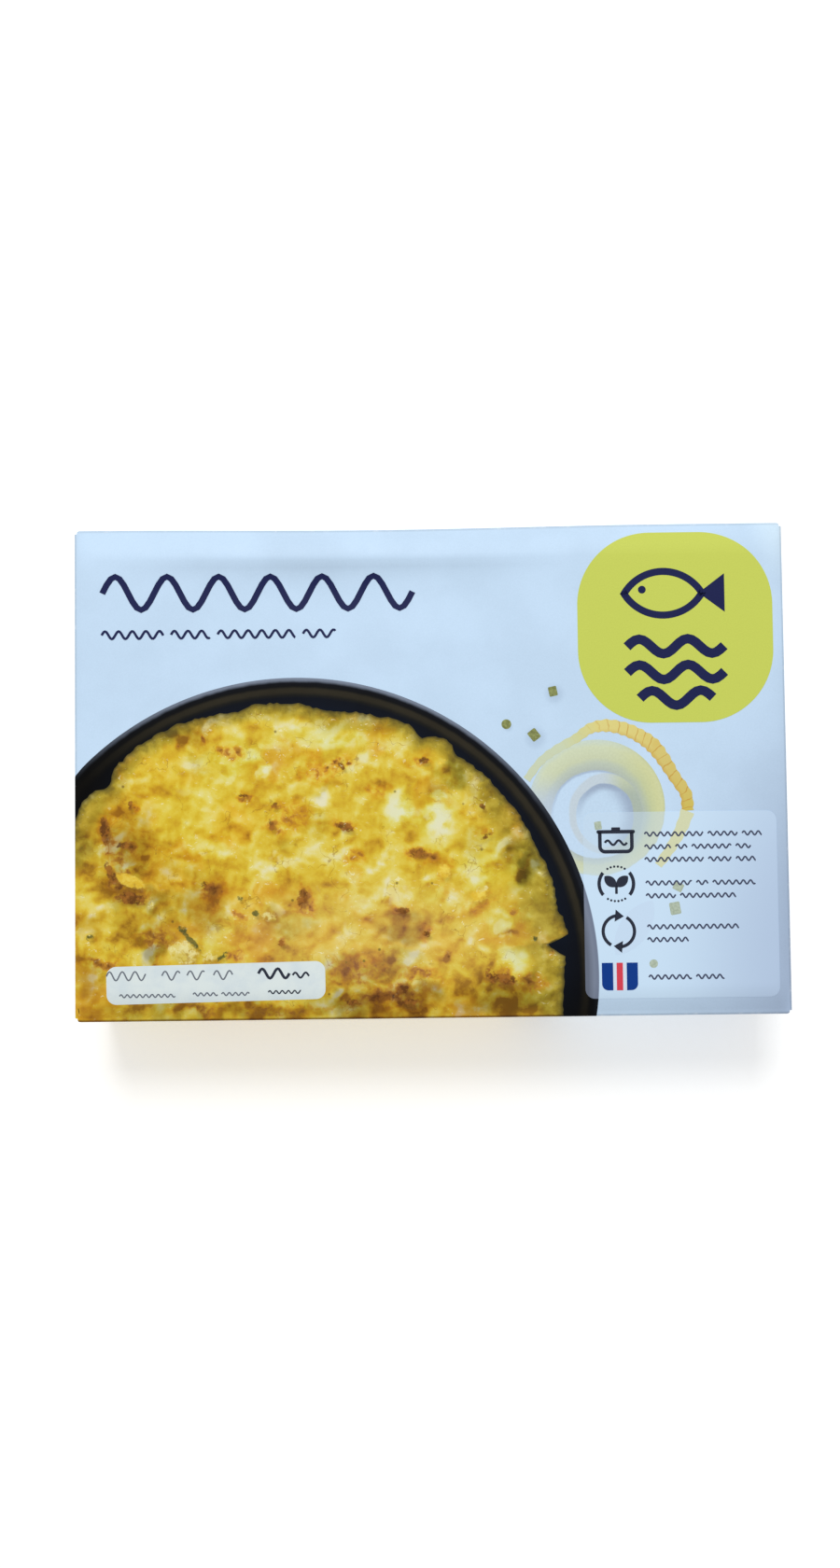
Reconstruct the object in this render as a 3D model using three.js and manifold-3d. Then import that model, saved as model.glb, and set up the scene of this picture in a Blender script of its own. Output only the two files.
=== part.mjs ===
// A shut carton for a chilled ready meal, in folded paperboard.
// Millimetres, +Z up. The carton lies on its back panel with the printed front panel up:
// +X is the right of the front panel, +Y its top, and the origin is under its middle.

import * as THREE from 'three';
import { mergeVertices } from 'three/addons/utils/BufferGeometryUtils.js';
import Module from 'manifold-3d';

// Driving dimensions of the carton
const WIDTH = 220; // over the two end closures
const HEIGHT = 152; // over the two long walls
const DEPTH = 36; // from the back panel to the highest line of the front panel
const BOARD = 0.45; // thickness of the board
const FOLD_RADIUS = 2 * BOARD; // outside radius of every fold

// End closures: the outer flap comes down from the front, the inner flap up from the back
const OUTER_FLAP_LENGTH = 29; // from the front panel to the flap's cut edge
const FLAP_SIDE_GAP = 1.2; // from the flap's side edge to the face of the long wall
const FLAP_ROOT = 4; // how far the flap solids reach back into the body

// Glued joint along the back: the back panel stops just short of the upper long wall
const JOINT_SETBACK = 0.7;

// Front panel: it rises from its folds to the rim of the tray inside, is creased below the
// upper rim and sags a little in the middle
const SHOULDER = 9.1; // from a long fold to the line over the tray's rim
const SHOULDER_RISE = 0.85; // height of that line over the folds
const END_STEEPNESS = 3; // how much steeper the panel rises from its two ends
const CORNER_BLEND = 7; // rounds the shoulder where it turns at the corners
const DENT = 0.72; // depth of the crease below the upper rim
const DENT_LENGTH = 9; // from the rim's line down to the crease's deepest line
const DENT_CENTRE = -27; // the middle of the crease, along X
const DENT_REACH = 78; // and how far it reaches each way
const SAG = 0.35; // sag at the middle of the panel

const FOLD_Z = DEPTH - SHOULDER_RISE; // outside height of the front panel at its folds

// The upper front fold is pushed in a little between its ends
const PUSH_IN = 0.8;
const PUSH_CENTRE = -17;
const PUSH_REACH = 93;
const PUSH_FADE = 40; // over this much of the front panel

// Fineness of the solid
const STATIONS = 36; // along X
const FRONT_CELLS = 32; // across the front panel
const ARC_STEPS = 3; // round a fold
const CROWDING = 0.6; // how far the cells crowd towards the folds, from 0 to 1

const halfWidth = WIDTH / 2;
const halfHeight = HEIGHT / 2;
const bodyHalfWidth = halfWidth - 2 * BOARD;
const levelHalfHeight = halfHeight - FOLD_RADIUS;

const wasm = await Module();
wasm.setup();

function clamp01(value) {
  return Math.min(1, Math.max(0, value));
}

// One smooth hump: 1 at the centre, 0 from the reach outwards
function hump(value, centre, reach) {
  const away = clamp01(Math.abs(value - centre) / reach);
  return Math.cos((away * Math.PI) / 2) ** 2;
}

function smoothMin(a, b, blend) {
  const share = clamp01(0.5 + (0.5 * (b - a)) / blend);
  return b + (a - b) * share - blend * share * (1 - share);
}

// Height of the front panel over its folds at a point of the panel
function frontRelief(x, y) {
  const fromEnds = Math.max(0, bodyHalfWidth - Math.abs(x)) * END_STEEPNESS;
  const fromWalls = Math.max(0, levelHalfHeight - Math.abs(y));
  const inside = Math.max(0, smoothMin(fromEnds, fromWalls, CORNER_BLEND));
  const shoulder = Math.sin((clamp01(inside / SHOULDER) * Math.PI) / 2);
  const belowCrease = Math.max(0, levelHalfHeight - SHOULDER - y) / DENT_LENGTH;
  const alongCrease = Math.cos((clamp01(Math.abs(x - DENT_CENTRE) / DENT_REACH) * Math.PI) / 2);
  const dent = alongCrease * belowCrease * Math.exp(1 - belowCrease);
  const sag = hump(x, 0, halfWidth) * hump(y, 0, halfHeight);
  return (SHOULDER_RISE - DENT * dent - SAG * sag) * shoulder;
}

// How far the upper long wall is pushed in at its front fold
function pushIn(x) {
  return PUSH_IN * hump(x, PUSH_CENTRE, PUSH_REACH);
}

function asSolid(geometry) {
  const bare = geometry.clone();
  bare.deleteAttribute('normal');
  bare.deleteAttribute('uv');
  const merged = mergeVertices(bare, 1e-5);
  return new wasm.Manifold(new wasm.Mesh({
    numProp: 3,
    vertProperties: new Float32Array(merged.attributes.position.array),
    triVerts: new Uint32Array(merged.index.array),
  }));
}

function asGeometry(solid) {
  const mesh = solid.getMesh();
  const geometry = new THREE.BufferGeometry();
  geometry.setAttribute('position', new THREE.BufferAttribute(mesh.vertProperties, 3));
  geometry.setIndex(new THREE.BufferAttribute(mesh.triVerts, 1));
  geometry.computeVertexNormals();
  return geometry;
}

// Spaces out even steps from -1 to 1 so that they lie closer together towards both ends
function closerAtEnds(place) {
  return place + CROWDING * (Math.sin((place * Math.PI) / 2) - place);
}

// The section of the carton across Y and Z, anticlockwise, with the joint's step at the back
function wallSection() {
  const section = new THREE.Shape();
  const side = halfHeight;
  const r = FOLD_RADIUS;
  section.moveTo(-side + r, 0);
  section.lineTo(side - JOINT_SETBACK, 0);
  section.lineTo(side - JOINT_SETBACK, BOARD);
  section.lineTo(side, BOARD + r);
  section.lineTo(side, FOLD_Z - r);
  section.absarc(side - r, FOLD_Z - r, r, 0, Math.PI / 2, false);
  for (let i = 1; i < FRONT_CELLS; i += 1) {
    section.lineTo(levelHalfHeight * closerAtEnds(1 - (2 * i) / FRONT_CELLS), FOLD_Z);
  }
  section.absarc(-side + r, FOLD_Z - r, r, Math.PI / 2, Math.PI, false);
  section.lineTo(-side, r);
  section.absarc(-side + r, r, r, Math.PI, 1.5 * Math.PI, false);
  return section;
}

// The four panels and the dust flaps: the section run along X, then shaped by its contents
function sleeveSolid() {
  const geometry = new THREE.ExtrudeGeometry(wallSection(), {
    depth: 2 * bodyHalfWidth,
    steps: STATIONS,
    bevelEnabled: false,
    curveSegments: ARC_STEPS,
  });
  geometry.translate(0, 0, -bodyHalfWidth);
  geometry.applyMatrix4(new THREE.Matrix4().makeBasis(
    new THREE.Vector3(0, 1, 0),
    new THREE.Vector3(0, 0, 1),
    new THREE.Vector3(1, 0, 0),
  ));
  const place = geometry.attributes.position;
  for (let i = 0; i < place.count; i += 1) {
    const x = bodyHalfWidth * closerAtEnds(place.getX(i) / bodyHalfWidth);
    const y = place.getY(i);
    const z = place.getZ(i);
    const onFront = z > FOLD_Z - 0.01;
    const nearUpperFold = clamp01((y - halfHeight + PUSH_FADE) / PUSH_FADE);
    const upTheWall = clamp01(z / FOLD_Z);
    place.setX(i, x);
    place.setY(i, y - pushIn(x) * nearUpperFold * upTheWall);
    if (onFront) place.setZ(i, z + frontRelief(x, y));
  }
  return asSolid(geometry);
}

// Rounds the upright folds where the long walls turn in to the dust flaps
function cornerEnvelope() {
  const r = FOLD_RADIUS;
  const outline = new THREE.Shape();
  outline.moveTo(-bodyHalfWidth + r, -halfHeight);
  outline.absarc(bodyHalfWidth - r, -halfHeight + r, r, -Math.PI / 2, 0, false);
  outline.absarc(bodyHalfWidth - r, halfHeight - r, r, 0, Math.PI / 2, false);
  outline.absarc(-bodyHalfWidth + r, halfHeight - r, r, Math.PI / 2, Math.PI, false);
  outline.absarc(-bodyHalfWidth + r, -halfHeight + r, r, Math.PI, 1.5 * Math.PI, false);
  const geometry = new THREE.ExtrudeGeometry(outline, {
    depth: 2 * FOLD_Z,
    bevelEnabled: false,
    curveSegments: ARC_STEPS,
  });
  geometry.translate(0, 0, -FOLD_Z / 2);
  return asSolid(geometry);
}

// A flap's side profile in X and Z, run across the carton between its two side gaps
function flapSolid(profile) {
  const span = HEIGHT - 2 * FLAP_SIDE_GAP;
  const geometry = new THREE.ExtrudeGeometry(profile, {
    depth: span,
    bevelEnabled: false,
    curveSegments: ARC_STEPS,
  });
  geometry.translate(0, 0, -span / 2);
  geometry.applyMatrix4(new THREE.Matrix4().makeBasis(
    new THREE.Vector3(1, 0, 0),
    new THREE.Vector3(0, 0, 1),
    new THREE.Vector3(0, -1, 0),
  ));
  return asSolid(geometry);
}

// The outer flap, glued down over the inner one
function outerFlap() {
  const profile = new THREE.Shape();
  const r = FOLD_RADIUS;
  profile.moveTo(halfWidth - FLAP_ROOT, FOLD_Z - OUTER_FLAP_LENGTH);
  profile.lineTo(halfWidth, FOLD_Z - OUTER_FLAP_LENGTH);
  profile.lineTo(halfWidth, FOLD_Z - r);
  profile.absarc(halfWidth - r, FOLD_Z - r, r, 0, Math.PI / 2, false);
  profile.lineTo(halfWidth - FLAP_ROOT, FOLD_Z);
  return flapSolid(profile);
}

// The inner flap, whose foot shows below the outer one's cut edge
function innerFlap() {
  const profile = new THREE.Shape();
  const face = halfWidth - BOARD;
  const r = FOLD_RADIUS;
  profile.moveTo(halfWidth - FLAP_ROOT, 0);
  profile.lineTo(face - r, 0);
  profile.absarc(face - r, r, r, -Math.PI / 2, 0, false);
  profile.lineTo(face, FOLD_Z / 2);
  profile.lineTo(halfWidth - FLAP_ROOT, FOLD_Z / 2);
  return flapSolid(profile);
}

function cartonSolid() {
  let solid = sleeveSolid().intersect(cornerEnvelope());
  for (const flap of [outerFlap(), innerFlap()]) {
    solid = solid.add(flap).add(flap.rotate([0, 0, 180]));
  }
  return solid;
}

const board = new THREE.MeshStandardMaterial({ color: 0xc6dbef, roughness: 0.5, metalness: 0 });

const carton = new THREE.Mesh(asGeometry(cartonSolid()), board);
carton.name = 'carton';

const model = new THREE.Group();
model.add(carton);

export default model;
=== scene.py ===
import math
import random

import bmesh
import bpy
from mathutils import Matrix, Vector, noise


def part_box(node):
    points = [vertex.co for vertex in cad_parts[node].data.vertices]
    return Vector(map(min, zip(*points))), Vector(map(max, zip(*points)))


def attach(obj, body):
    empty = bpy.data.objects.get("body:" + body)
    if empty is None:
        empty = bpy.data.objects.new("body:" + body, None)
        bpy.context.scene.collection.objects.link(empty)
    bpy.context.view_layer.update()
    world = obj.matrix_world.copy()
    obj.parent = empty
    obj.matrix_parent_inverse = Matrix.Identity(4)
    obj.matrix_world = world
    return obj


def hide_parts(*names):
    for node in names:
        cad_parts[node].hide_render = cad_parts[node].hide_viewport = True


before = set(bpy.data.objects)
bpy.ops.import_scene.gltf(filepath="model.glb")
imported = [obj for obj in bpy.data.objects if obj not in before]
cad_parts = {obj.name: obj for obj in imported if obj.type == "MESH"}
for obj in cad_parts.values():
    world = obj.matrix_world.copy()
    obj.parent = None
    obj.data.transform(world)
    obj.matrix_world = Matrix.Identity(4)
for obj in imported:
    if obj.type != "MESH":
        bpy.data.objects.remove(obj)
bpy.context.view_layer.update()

MM = 0.001

# Blender seeds the noise that bends the gratin's patches by the clock, so it is seeded here
NOISE_SEED = 19
noise.seed_set(NOISE_SEED)

# The carton's own sizes in millimetres, off the frame, with the board and folds as in the part's source
BOX_LOW, BOX_HIGH = (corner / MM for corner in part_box("carton"))
WIDTH = BOX_HIGH.x - BOX_LOW.x
HEIGHT = BOX_HIGH.y - BOX_LOW.y
BOARD = 0.45
FOLD_RADIUS = 2 * BOARD
QUARTER_FOLD = FOLD_RADIUS * math.pi / 2
OUTER_FLAP_LENGTH = 29.0
FLAP_SIDE_GAP = 1.2
FLAP_ROOT = 4.0
JOINT_SETBACK = 0.7

# The front panel rises from its folds to the tray's rim, and is creased below the upper rim
SHOULDER = 9.1
SHOULDER_RISE = 0.85
DENT = 0.72
DENT_LENGTH = 9.0
DENT_CENTRE = -27.0
DENT_REACH = 78.0
SAG = 0.35
END_STEEPNESS = 3.0
CORNER_BLEND = 7.0
FOLD_Z = BOX_HIGH.z - SHOULDER_RISE

# The upper front fold is pushed in a little
PUSH_IN = 0.8
PUSH_CENTRE = -17.0
PUSH_REACH = 93.0
PUSH_FADE = 40.0

# Where the flat parts of the board end and its folds begin
FLAT_U = WIDTH / 2 - FOLD_RADIUS
FLAT_V = HEIGHT / 2 - FOLD_RADIUS
BODY_HALF = WIDTH / 2 - 2 * BOARD
UPRIGHT_U = BODY_HALF - FOLD_RADIUS
FLAP_HALF = HEIGHT / 2 - FLAP_SIDE_GAP
WALL_END = FLAT_V + QUARTER_FOLD + FOLD_Z - 2 * FOLD_RADIUS
FLAP_END = FLAT_U + QUARTER_FOLD + OUTER_FLAP_LENGTH - FOLD_RADIUS

# Heights of the ink films over the board, in the order that they were printed
FILM_FOOT = -0.03
ONION_LIFT = 0.03
DISH_LIFT = 0.045
PEEL_LIFT = 0.045
GRATIN_LIFT = 0.06
PANEL_LIFT = 0.075
VEILED_LIFT = 0.09
MARK_LIFT = 0.105

BOARD_CELL = 2.0
FOLD_CUTS = 5
SHARP_DEGREES = 30
SHEEN = 0.12
LEAN_SHOWN = 2.0


# Colours


def srgb(red, green, blue):
    """A colour read on screen, 0 to 255, as Blender's linear one."""
    def linear(value):
        value /= 255
        return value / 12.92 if value <= 0.04045 else ((value + 0.055) / 1.055) ** 2.4
    return (linear(red), linear(green), linear(blue), 1.0)


PALE_BLUE = srgb(199, 223, 246)
# Painted shade: the blue that the board darkens to towards the foot of its right side
PAINTED_SHADE_BLUE = srgb(152, 168, 196)
RAW_BOARD = srgb(205, 196, 180)
LIME = srgb(201, 211, 94)
NAVY = srgb(27, 33, 78)
ICON_INK = srgb(42, 47, 62)
TEXT_INK = srgb(70, 76, 100)
LABEL_WHITE = srgb(224, 234, 233)
CODE_INK = srgb(110, 116, 126)
FLAG_BLUE = srgb(8, 57, 138)
FLAG_RED = srgb(217, 68, 84)
FLAG_WHITE = srgb(214, 228, 243)
CUBE_GREEN = srgb(141, 148, 92)


# The folded shape of the board


def clamp01(value):
    return min(1.0, max(0.0, value))


def hump(value, centre, reach):
    """1 at the centre, falling smoothly to 0 at the reach."""
    away = clamp01(abs(value - centre) / reach)
    return math.cos(away * math.pi / 2) ** 2


def smooth_min(a, b, blend):
    share = clamp01(0.5 + 0.5 * (b - a) / blend)
    return b + (a - b) * share - blend * share * (1 - share)


def front_relief(x, y):
    """How far the front panel stands over its folds."""
    from_ends = max(0.0, FLAT_U - abs(x)) * END_STEEPNESS
    from_walls = max(0.0, FLAT_V - abs(y))
    inside = max(0.0, smooth_min(from_ends, from_walls, CORNER_BLEND))
    shoulder = math.sin(clamp01(inside / SHOULDER) * math.pi / 2)
    below_crease = max(0.0, FLAT_V - SHOULDER - y) / DENT_LENGTH
    along_crease = math.cos(clamp01(abs(x - DENT_CENTRE) / DENT_REACH) * math.pi / 2)
    dent = along_crease * below_crease * math.exp(1 - below_crease)
    sag = hump(x, 0, WIDTH / 2) * hump(y, 0, HEIGHT / 2)
    return (SHOULDER_RISE - DENT * dent - SAG * sag) * shoulder


def panel_lean(u, v):
    """How much further than its coarse shape the front panel leans up or down at a point."""
    step = 0.5
    if abs(u) > FLAT_U or abs(v) > FLAT_V:
        return Vector((0, 0, 0))
    rise = (front_relief(u, v + step) - front_relief(u, v - step)) / (2 * step)
    return Vector((0, -LEAN_SHOWN * rise, 0))


def settle(point):
    """Bends a point of the crisp folded carton as its contents and handling have."""
    x, y, z = point
    near_upper_fold = clamp01((y - HEIGHT / 2 + PUSH_FADE) / PUSH_FADE)
    push = PUSH_IN * hump(x, PUSH_CENTRE, PUSH_REACH)
    y_bent = y - push * near_upper_fold * clamp01(z / FOLD_Z)
    rise = front_relief(x, y) if z > FOLD_Z / 2 else 0.0
    return Vector((x, y_bent, z + rise))


def fold(u, v, lift):
    """The place on the carton of a point of the flat blank, lifted off the board.

    The blank's origin is the middle of the front panel, u runs right and v runs up.
    """
    radius = FOLD_RADIUS + lift
    along_u, along_v = abs(u), abs(v)
    if along_u <= FLAT_U and along_v <= FLAT_V:
        return settle((u, v, FOLD_Z + lift))
    if along_v > FLAT_V:
        turn = min((along_v - FLAT_V) / FOLD_RADIUS, math.pi / 2)
        upright = min(max(0.0, along_u - UPRIGHT_U) / FOLD_RADIUS, math.pi / 2)
        out = min(math.sin(turn), math.cos(upright)) * radius
        x = math.copysign(min(along_u, UPRIGHT_U) + math.sin(upright) * radius, u)
        if upright == 0.0:
            x = u
        past = max(0.0, along_v - FLAT_V - QUARTER_FOLD)
        z = FOLD_Z - FOLD_RADIUS + math.cos(turn) * radius - past
        return settle((x, math.copysign(FLAT_V + out, v), z))
    turn = min((along_u - FLAT_U) / FOLD_RADIUS, math.pi / 2)
    past = max(0.0, along_u - FLAT_U - QUARTER_FOLD)
    x = math.copysign(FLAT_U + math.sin(turn) * radius, u)
    return settle((x, v, FOLD_Z - FOLD_RADIUS + math.cos(turn) * radius - past))


def unfold(point):
    """The point of the flat blank that a point of the crisp carton comes from."""
    x, y, z = point
    down = FOLD_Z - FOLD_RADIUS - z
    if abs(x) > BODY_HALF + BOARD / 2 and abs(y) < FLAP_HALF + 0.01:
        turn = math.atan2(abs(x) - FLAT_U, max(-down, 1e-6)) if down < 0 else math.pi / 2
        return (math.copysign(FLAT_U + turn * FOLD_RADIUS + max(0.0, down), x), y)
    if abs(y) > FLAT_V:
        turn = math.atan2(abs(y) - FLAT_V, max(-down, 1e-6)) if down < 0 else math.pi / 2
        return (x, math.copysign(FLAT_V + turn * FOLD_RADIUS + max(0.0, down), y))
    return (x, y)


# Node trees


def shade(tree, kind, links=None, **settings):
    """Adds a node, sets its settings, and fills its inputs with values or other nodes' outputs."""
    made = tree.nodes.new(kind)
    for name, value in settings.items():
        setattr(made, name, value)
    for key, value in (links or {}).items():
        socket = made.inputs[key]
        if isinstance(value, bpy.types.NodeSocket):
            tree.links.new(value, socket)
        else:
            socket.default_value = value
    return made


def calc(tree, operation, *values, clamp=False):
    links = dict(enumerate(values))
    made = shade(tree, "ShaderNodeMath", links, operation=operation, use_clamp=clamp)
    return made.outputs[0]


def vector_calc(tree, operation, *values):
    made = shade(tree, "ShaderNodeVectorMath", dict(enumerate(values)), operation=operation)
    return made.outputs["Value" if operation in ("LENGTH", "DISTANCE", "DOT_PRODUCT") else "Vector"]


def scaled(tree, vector, factor):
    made = shade(tree, "ShaderNodeVectorMath", {0: vector, "Scale": factor}, operation="SCALE")
    return made.outputs["Vector"]


def between(tree, value, low, high, to_low=0.0, to_high=1.0):
    """A smooth step of a value from one range to another."""
    made = shade(
        tree, "ShaderNodeMapRange",
        {"Value": value, "From Min": low, "From Max": high, "To Min": to_low, "To Max": to_high},
        interpolation_type="SMOOTHSTEP",
    )
    return made.outputs["Result"]


def blend_colour(tree, share, first, second, how="MIX"):
    made = shade(tree, "ShaderNodeMix", data_type="RGBA", blend_type=how)
    for socket, value in zip((made.inputs[0], made.inputs[6], made.inputs[7]), (share, first, second)):
        if isinstance(value, bpy.types.NodeSocket):
            tree.links.new(value, socket)
        else:
            socket.default_value = value
    return made.outputs[2]


def grain(tree, vector, scale, detail=2.0, roughness=0.5, output="Fac"):
    made = shade(
        tree, "ShaderNodeTexNoise",
        {"Vector": vector, "Scale": scale, "Detail": detail, "Roughness": roughness},
    )
    return made.outputs[output]


def ramp(tree, value, stops, interpolation="LINEAR"):
    """A colour ramp through (position, colour) stops."""
    made = shade(tree, "ShaderNodeValToRGB", {"Fac": value})
    band = made.color_ramp
    band.interpolation = interpolation
    for position, colour in stops[1:-1]:
        band.elements.new(position).color = colour
    band.elements[0].position, band.elements[0].color = stops[0]
    band.elements[-1].position, band.elements[-1].color = stops[-1]
    return made.outputs["Color"]


def blank_place(tree):
    """The place on the flat blank in millimetres, so that print runs on over the folds."""
    return shade(tree, "ShaderNodeAttribute", attribute_name="blank").outputs["Vector"]


def attribute(tree, name):
    return shade(tree, "ShaderNodeAttribute", attribute_name=name).outputs["Fac"]


def finish(name, roughness, specular=0.5):
    """A new material with its node tree and its shader."""
    material = bpy.data.materials.new(name)
    material.use_nodes = True
    shader = material.node_tree.nodes["Principled BSDF"]
    shader.inputs["Roughness"].default_value = roughness
    shader.inputs["Specular IOR Level"].default_value = specular
    return material, material.node_tree, shader


def varnish_skin(tree, shader, place):
    """The panel's lean, and the faint unevenness of varnished board in relief and in gloss."""
    lean = shade(tree, "ShaderNodeAttribute", attribute_name="lean").outputs["Vector"]
    normal = shade(tree, "ShaderNodeNewGeometry").outputs["Normal"]
    leaning = vector_calc(tree, "NORMALIZE", vector_calc(tree, "ADD", normal, lean))
    fibre = grain(tree, place, 1.6, 4.0, 0.6)
    waviness = grain(tree, place, 0.12, 2.0)
    height = calc(tree, "MULTIPLY_ADD", waviness, 6.0, fibre)
    bump = shade(
        tree, "ShaderNodeBump",
        {"Height": height, "Strength": 0.25, "Distance": 0.00004, "Normal": leaning},
    )
    tree.links.new(bump.outputs["Normal"], shader.inputs["Normal"])
    gloss = between(tree, grain(tree, place, 0.3, 3.0), 0.3, 0.7, 0.4, 0.5)
    tree.links.new(gloss, shader.inputs["Roughness"])


def plain_ink(name, colour, mottle=0.05):
    """One flat ink with the slight mottle of offset print."""
    material, tree, shader = finish(name, 0.45, SHEEN)
    place = blank_place(tree)
    speckle = grain(tree, place, 2.2, 3.0, 0.65)
    share = between(tree, speckle, 0.25, 0.75)
    darker = tuple(c * (1 - mottle) for c in colour[:3]) + (1.0,)
    lighter = tuple(min(1.0, c * (1 + mottle)) for c in colour[:3]) + (1.0,)
    tree.links.new(blend_colour(tree, share, darker, lighter), shader.inputs["Base Color"])
    varnish_skin(tree, shader, place)
    return material


# Flat artwork on the blank, in millimetres


def disc(art, u, v, radius, steps=96):
    made = bmesh.ops.create_circle(art, cap_ends=True, segments=steps, radius=radius)
    bmesh.ops.translate(art, verts=made["verts"], vec=(u, v, 0))


def arc_band(art, u, v, inner, outer, start, sweep, steps=32):
    """A flat ring, or part of one from a start angle, in degrees."""
    toward = Vector((math.cos(math.radians(start)), math.sin(math.radians(start)), 0))
    centre = Vector((u, v, 0))
    ends = [art.verts.new(centre + toward * inner), art.verts.new(centre + toward * outer)]
    edge = art.edges.new(ends)
    bmesh.ops.spin(
        art, geom=[*ends, edge], cent=centre, axis=(0, 0, 1), angle=math.radians(sweep),
        steps=steps, use_merge=abs(sweep) == 360,
    )


def rounded_panel(art, u, v, width, height, radius, turn=0.0):
    made = bmesh.ops.create_grid(art, x_segments=1, y_segments=1, size=0.5)
    corners = made["verts"]
    bmesh.ops.scale(art, verts=corners, vec=(width, height, 1))
    bmesh.ops.rotate(art, verts=corners, matrix=Matrix.Rotation(math.radians(turn), 3, "Z"))
    bmesh.ops.translate(art, verts=corners, vec=(u, v, 0))
    if radius > 0:
        bmesh.ops.bevel(
            art, geom=corners, offset=radius, segments=math.ceil(5 + radius), profile=0.5,
            affect="VERTICES", material=-1,
        )


def bar(art, u, v, length, height, turn=0.0):
    """A bar with round ends that starts at u and is centred on v."""
    rounded_panel(art, u + length / 2, v, length, height, height * 0.45, turn)


def bars(art, u, v, lengths, height, gap):
    for length in lengths:
        bar(art, u, v, length, height)
        u += length + gap


def ribbon(art, route, width, steps):
    """A band along a route, a function from 0 to 1 that gives its centre. Its width may be one too."""
    made = bmesh.ops.create_grid(art, x_segments=steps, y_segments=1, size=0.5)
    for vert in made["verts"]:
        along = clamp01(vert.co.x + 0.5)
        side = 1 if vert.co.y > 0 else -1
        before, here, after = (Vector(route(clamp01(along + d))) for d in (-0.002, 0, 0.002))
        heading = (after - before).normalized()
        wide = width(along) if callable(width) else width
        across = Vector((-heading.y, heading.x)) * side * wide / 2
        vert.co = Vector((here.x + across.x, here.y + across.y, 0))


def cut_along(art, normal, offset):
    geom = [*art.verts, *art.edges, *art.faces]
    place = Vector(normal) * offset
    bmesh.ops.bisect_plane(art, geom=geom, dist=1e-4, plane_co=place, plane_no=normal)


def cut_grid(art, cell):
    """Cuts flat artwork so finely that it can follow the panel's relief and the folds."""
    for axis, normal, flat in ((0, (1, 0, 0), FLAT_U), (1, (0, 1, 0), FLAT_V)):
        low = min(v.co[axis] for v in art.verts)
        high = max(v.co[axis] for v in art.verts)
        cuts = [cell * k for k in range(math.ceil(low / cell), math.floor(high / cell) + 1)]
        for side in (-1, 1):
            cuts += [side * (flat + QUARTER_FOLD * k / FOLD_CUTS) for k in range(FOLD_CUTS + 1)]
        if axis == 0:
            cuts += [side * at for side in (-1, 1) for at in (UPRIGHT_U, UPRIGHT_U + 0.4)]
        for offset in cuts:
            if low + 1e-3 < offset < high - 1e-3:
                cut_along(art, normal, offset)


def trim_to_blank(art):
    """Cuts artwork off where the board ends: at the flaps' edges and the walls' back folds."""
    for normal, offset in (
        ((1, 0, 0), -FLAP_END), ((1, 0, 0), FLAP_END), ((0, 1, 0), -WALL_END), ((0, 1, 0), WALL_END),
        ((0, 1, 0), -FLAP_HALF), ((0, 1, 0), FLAP_HALF),
        ((1, 0, 0), -FLAT_U), ((1, 0, 0), FLAT_U),
    ):
        cut_along(art, normal, offset)
    fallen = []
    for face in art.faces:
        middle = face.calc_center_median()
        past_end, past_wall = abs(middle.x) > FLAT_U, abs(middle.y) > FLAP_HALF
        off_board = abs(middle.x) > FLAP_END or abs(middle.y) > WALL_END
        if off_board or (past_end and past_wall):
            fallen.append(face)
    bmesh.ops.delete(art, geom=fallen, context="FACES")


def link_piece(name, mesh, materials):
    """Makes a mesh a piece of the carton, shown in the frame's root body."""
    piece = bpy.data.objects.new(name, mesh)
    bpy.context.scene.collection.objects.link(piece)
    for material in materials:
        mesh.materials.append(material)
    mesh.polygons.foreach_set("use_smooth", [True] * len(mesh.polygons))
    mesh.set_sharp_from_angle(angle=math.radians(SHARP_DEGREES))
    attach(piece, "root")
    return piece


def print_on_board(name, art, lift, material, cell=BOARD_CELL, values=None, back=False):
    """Turns flat artwork into a closed film of ink that follows the folded board.

    values maps an attribute's name to a function of the blank's u and v. Artwork for the
    back is laid out as seen from behind.
    """
    place = Vector((0, 0, 0))
    if not back:
        reach = max(max(abs(v.co.x) - FLAT_U, abs(v.co.y) - FLAT_V) for v in art.verts)
        cut_grid(art, cell)
        if reach > 0:
            trim_to_blank(art)
    bmesh.ops.remove_doubles(art, verts=art.verts[:], dist=1e-4)
    bmesh.ops.recalc_face_normals(art, faces=art.faces[:])
    layer = art.verts.layers.float_vector.new("blank")
    leaning = art.verts.layers.float_vector.new("lean")
    extra = {key: art.verts.layers.float.new(key) for key in (values or {})}
    for vert in art.verts:
        vert[layer] = vert.co.copy()
        if not back:
            vert[leaning] = panel_lean(vert.co.x, vert.co.y)
        for key, rule in (values or {}).items():
            vert[extra[key]] = rule(vert.co.x, vert.co.y)
    sheet = art.faces[:]
    grown = bmesh.ops.extrude_face_region(art, geom=sheet, use_keep_orig=True)
    top = {g for g in grown["geom"] if isinstance(g, bmesh.types.BMVert)}
    for vert in art.verts:
        height = lift if vert in top else FILM_FOOT
        if back:
            place = Vector((-vert.co.x, vert.co.y, -height))
        else:
            place = fold(vert.co.x, vert.co.y, height)
        vert.co = place * MM
    bmesh.ops.recalc_face_normals(art, faces=art.faces[:])
    mesh = bpy.data.meshes.new(name)
    art.to_mesh(mesh)
    art.free()
    return link_piece(name, mesh, [material])


# The board, folded and glued


def block(low, high, rounded):
    """A closed block in millimetres with some of its edges rounded as folds.

    rounded is a rule that takes an edge's middle and direction.
    """
    made = bmesh.new()
    bmesh.ops.create_cube(made, size=1.0)
    for vert in made.verts:
        vert.co = Vector([a + (c + 0.5) * (b - a) for a, b, c in zip(low, high, vert.co)])
    edges = []
    for edge in made.edges:
        first, last = (v.co for v in edge.verts)
        if rounded((first + last) / 2, (last - first).normalized()):
            edges.append(edge)
    bmesh.ops.bevel(
        made, geom=edges, offset=FOLD_RADIUS, segments=FOLD_CUTS, profile=0.5,
        affect="EDGES", material=-1,
    )
    return made


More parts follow.
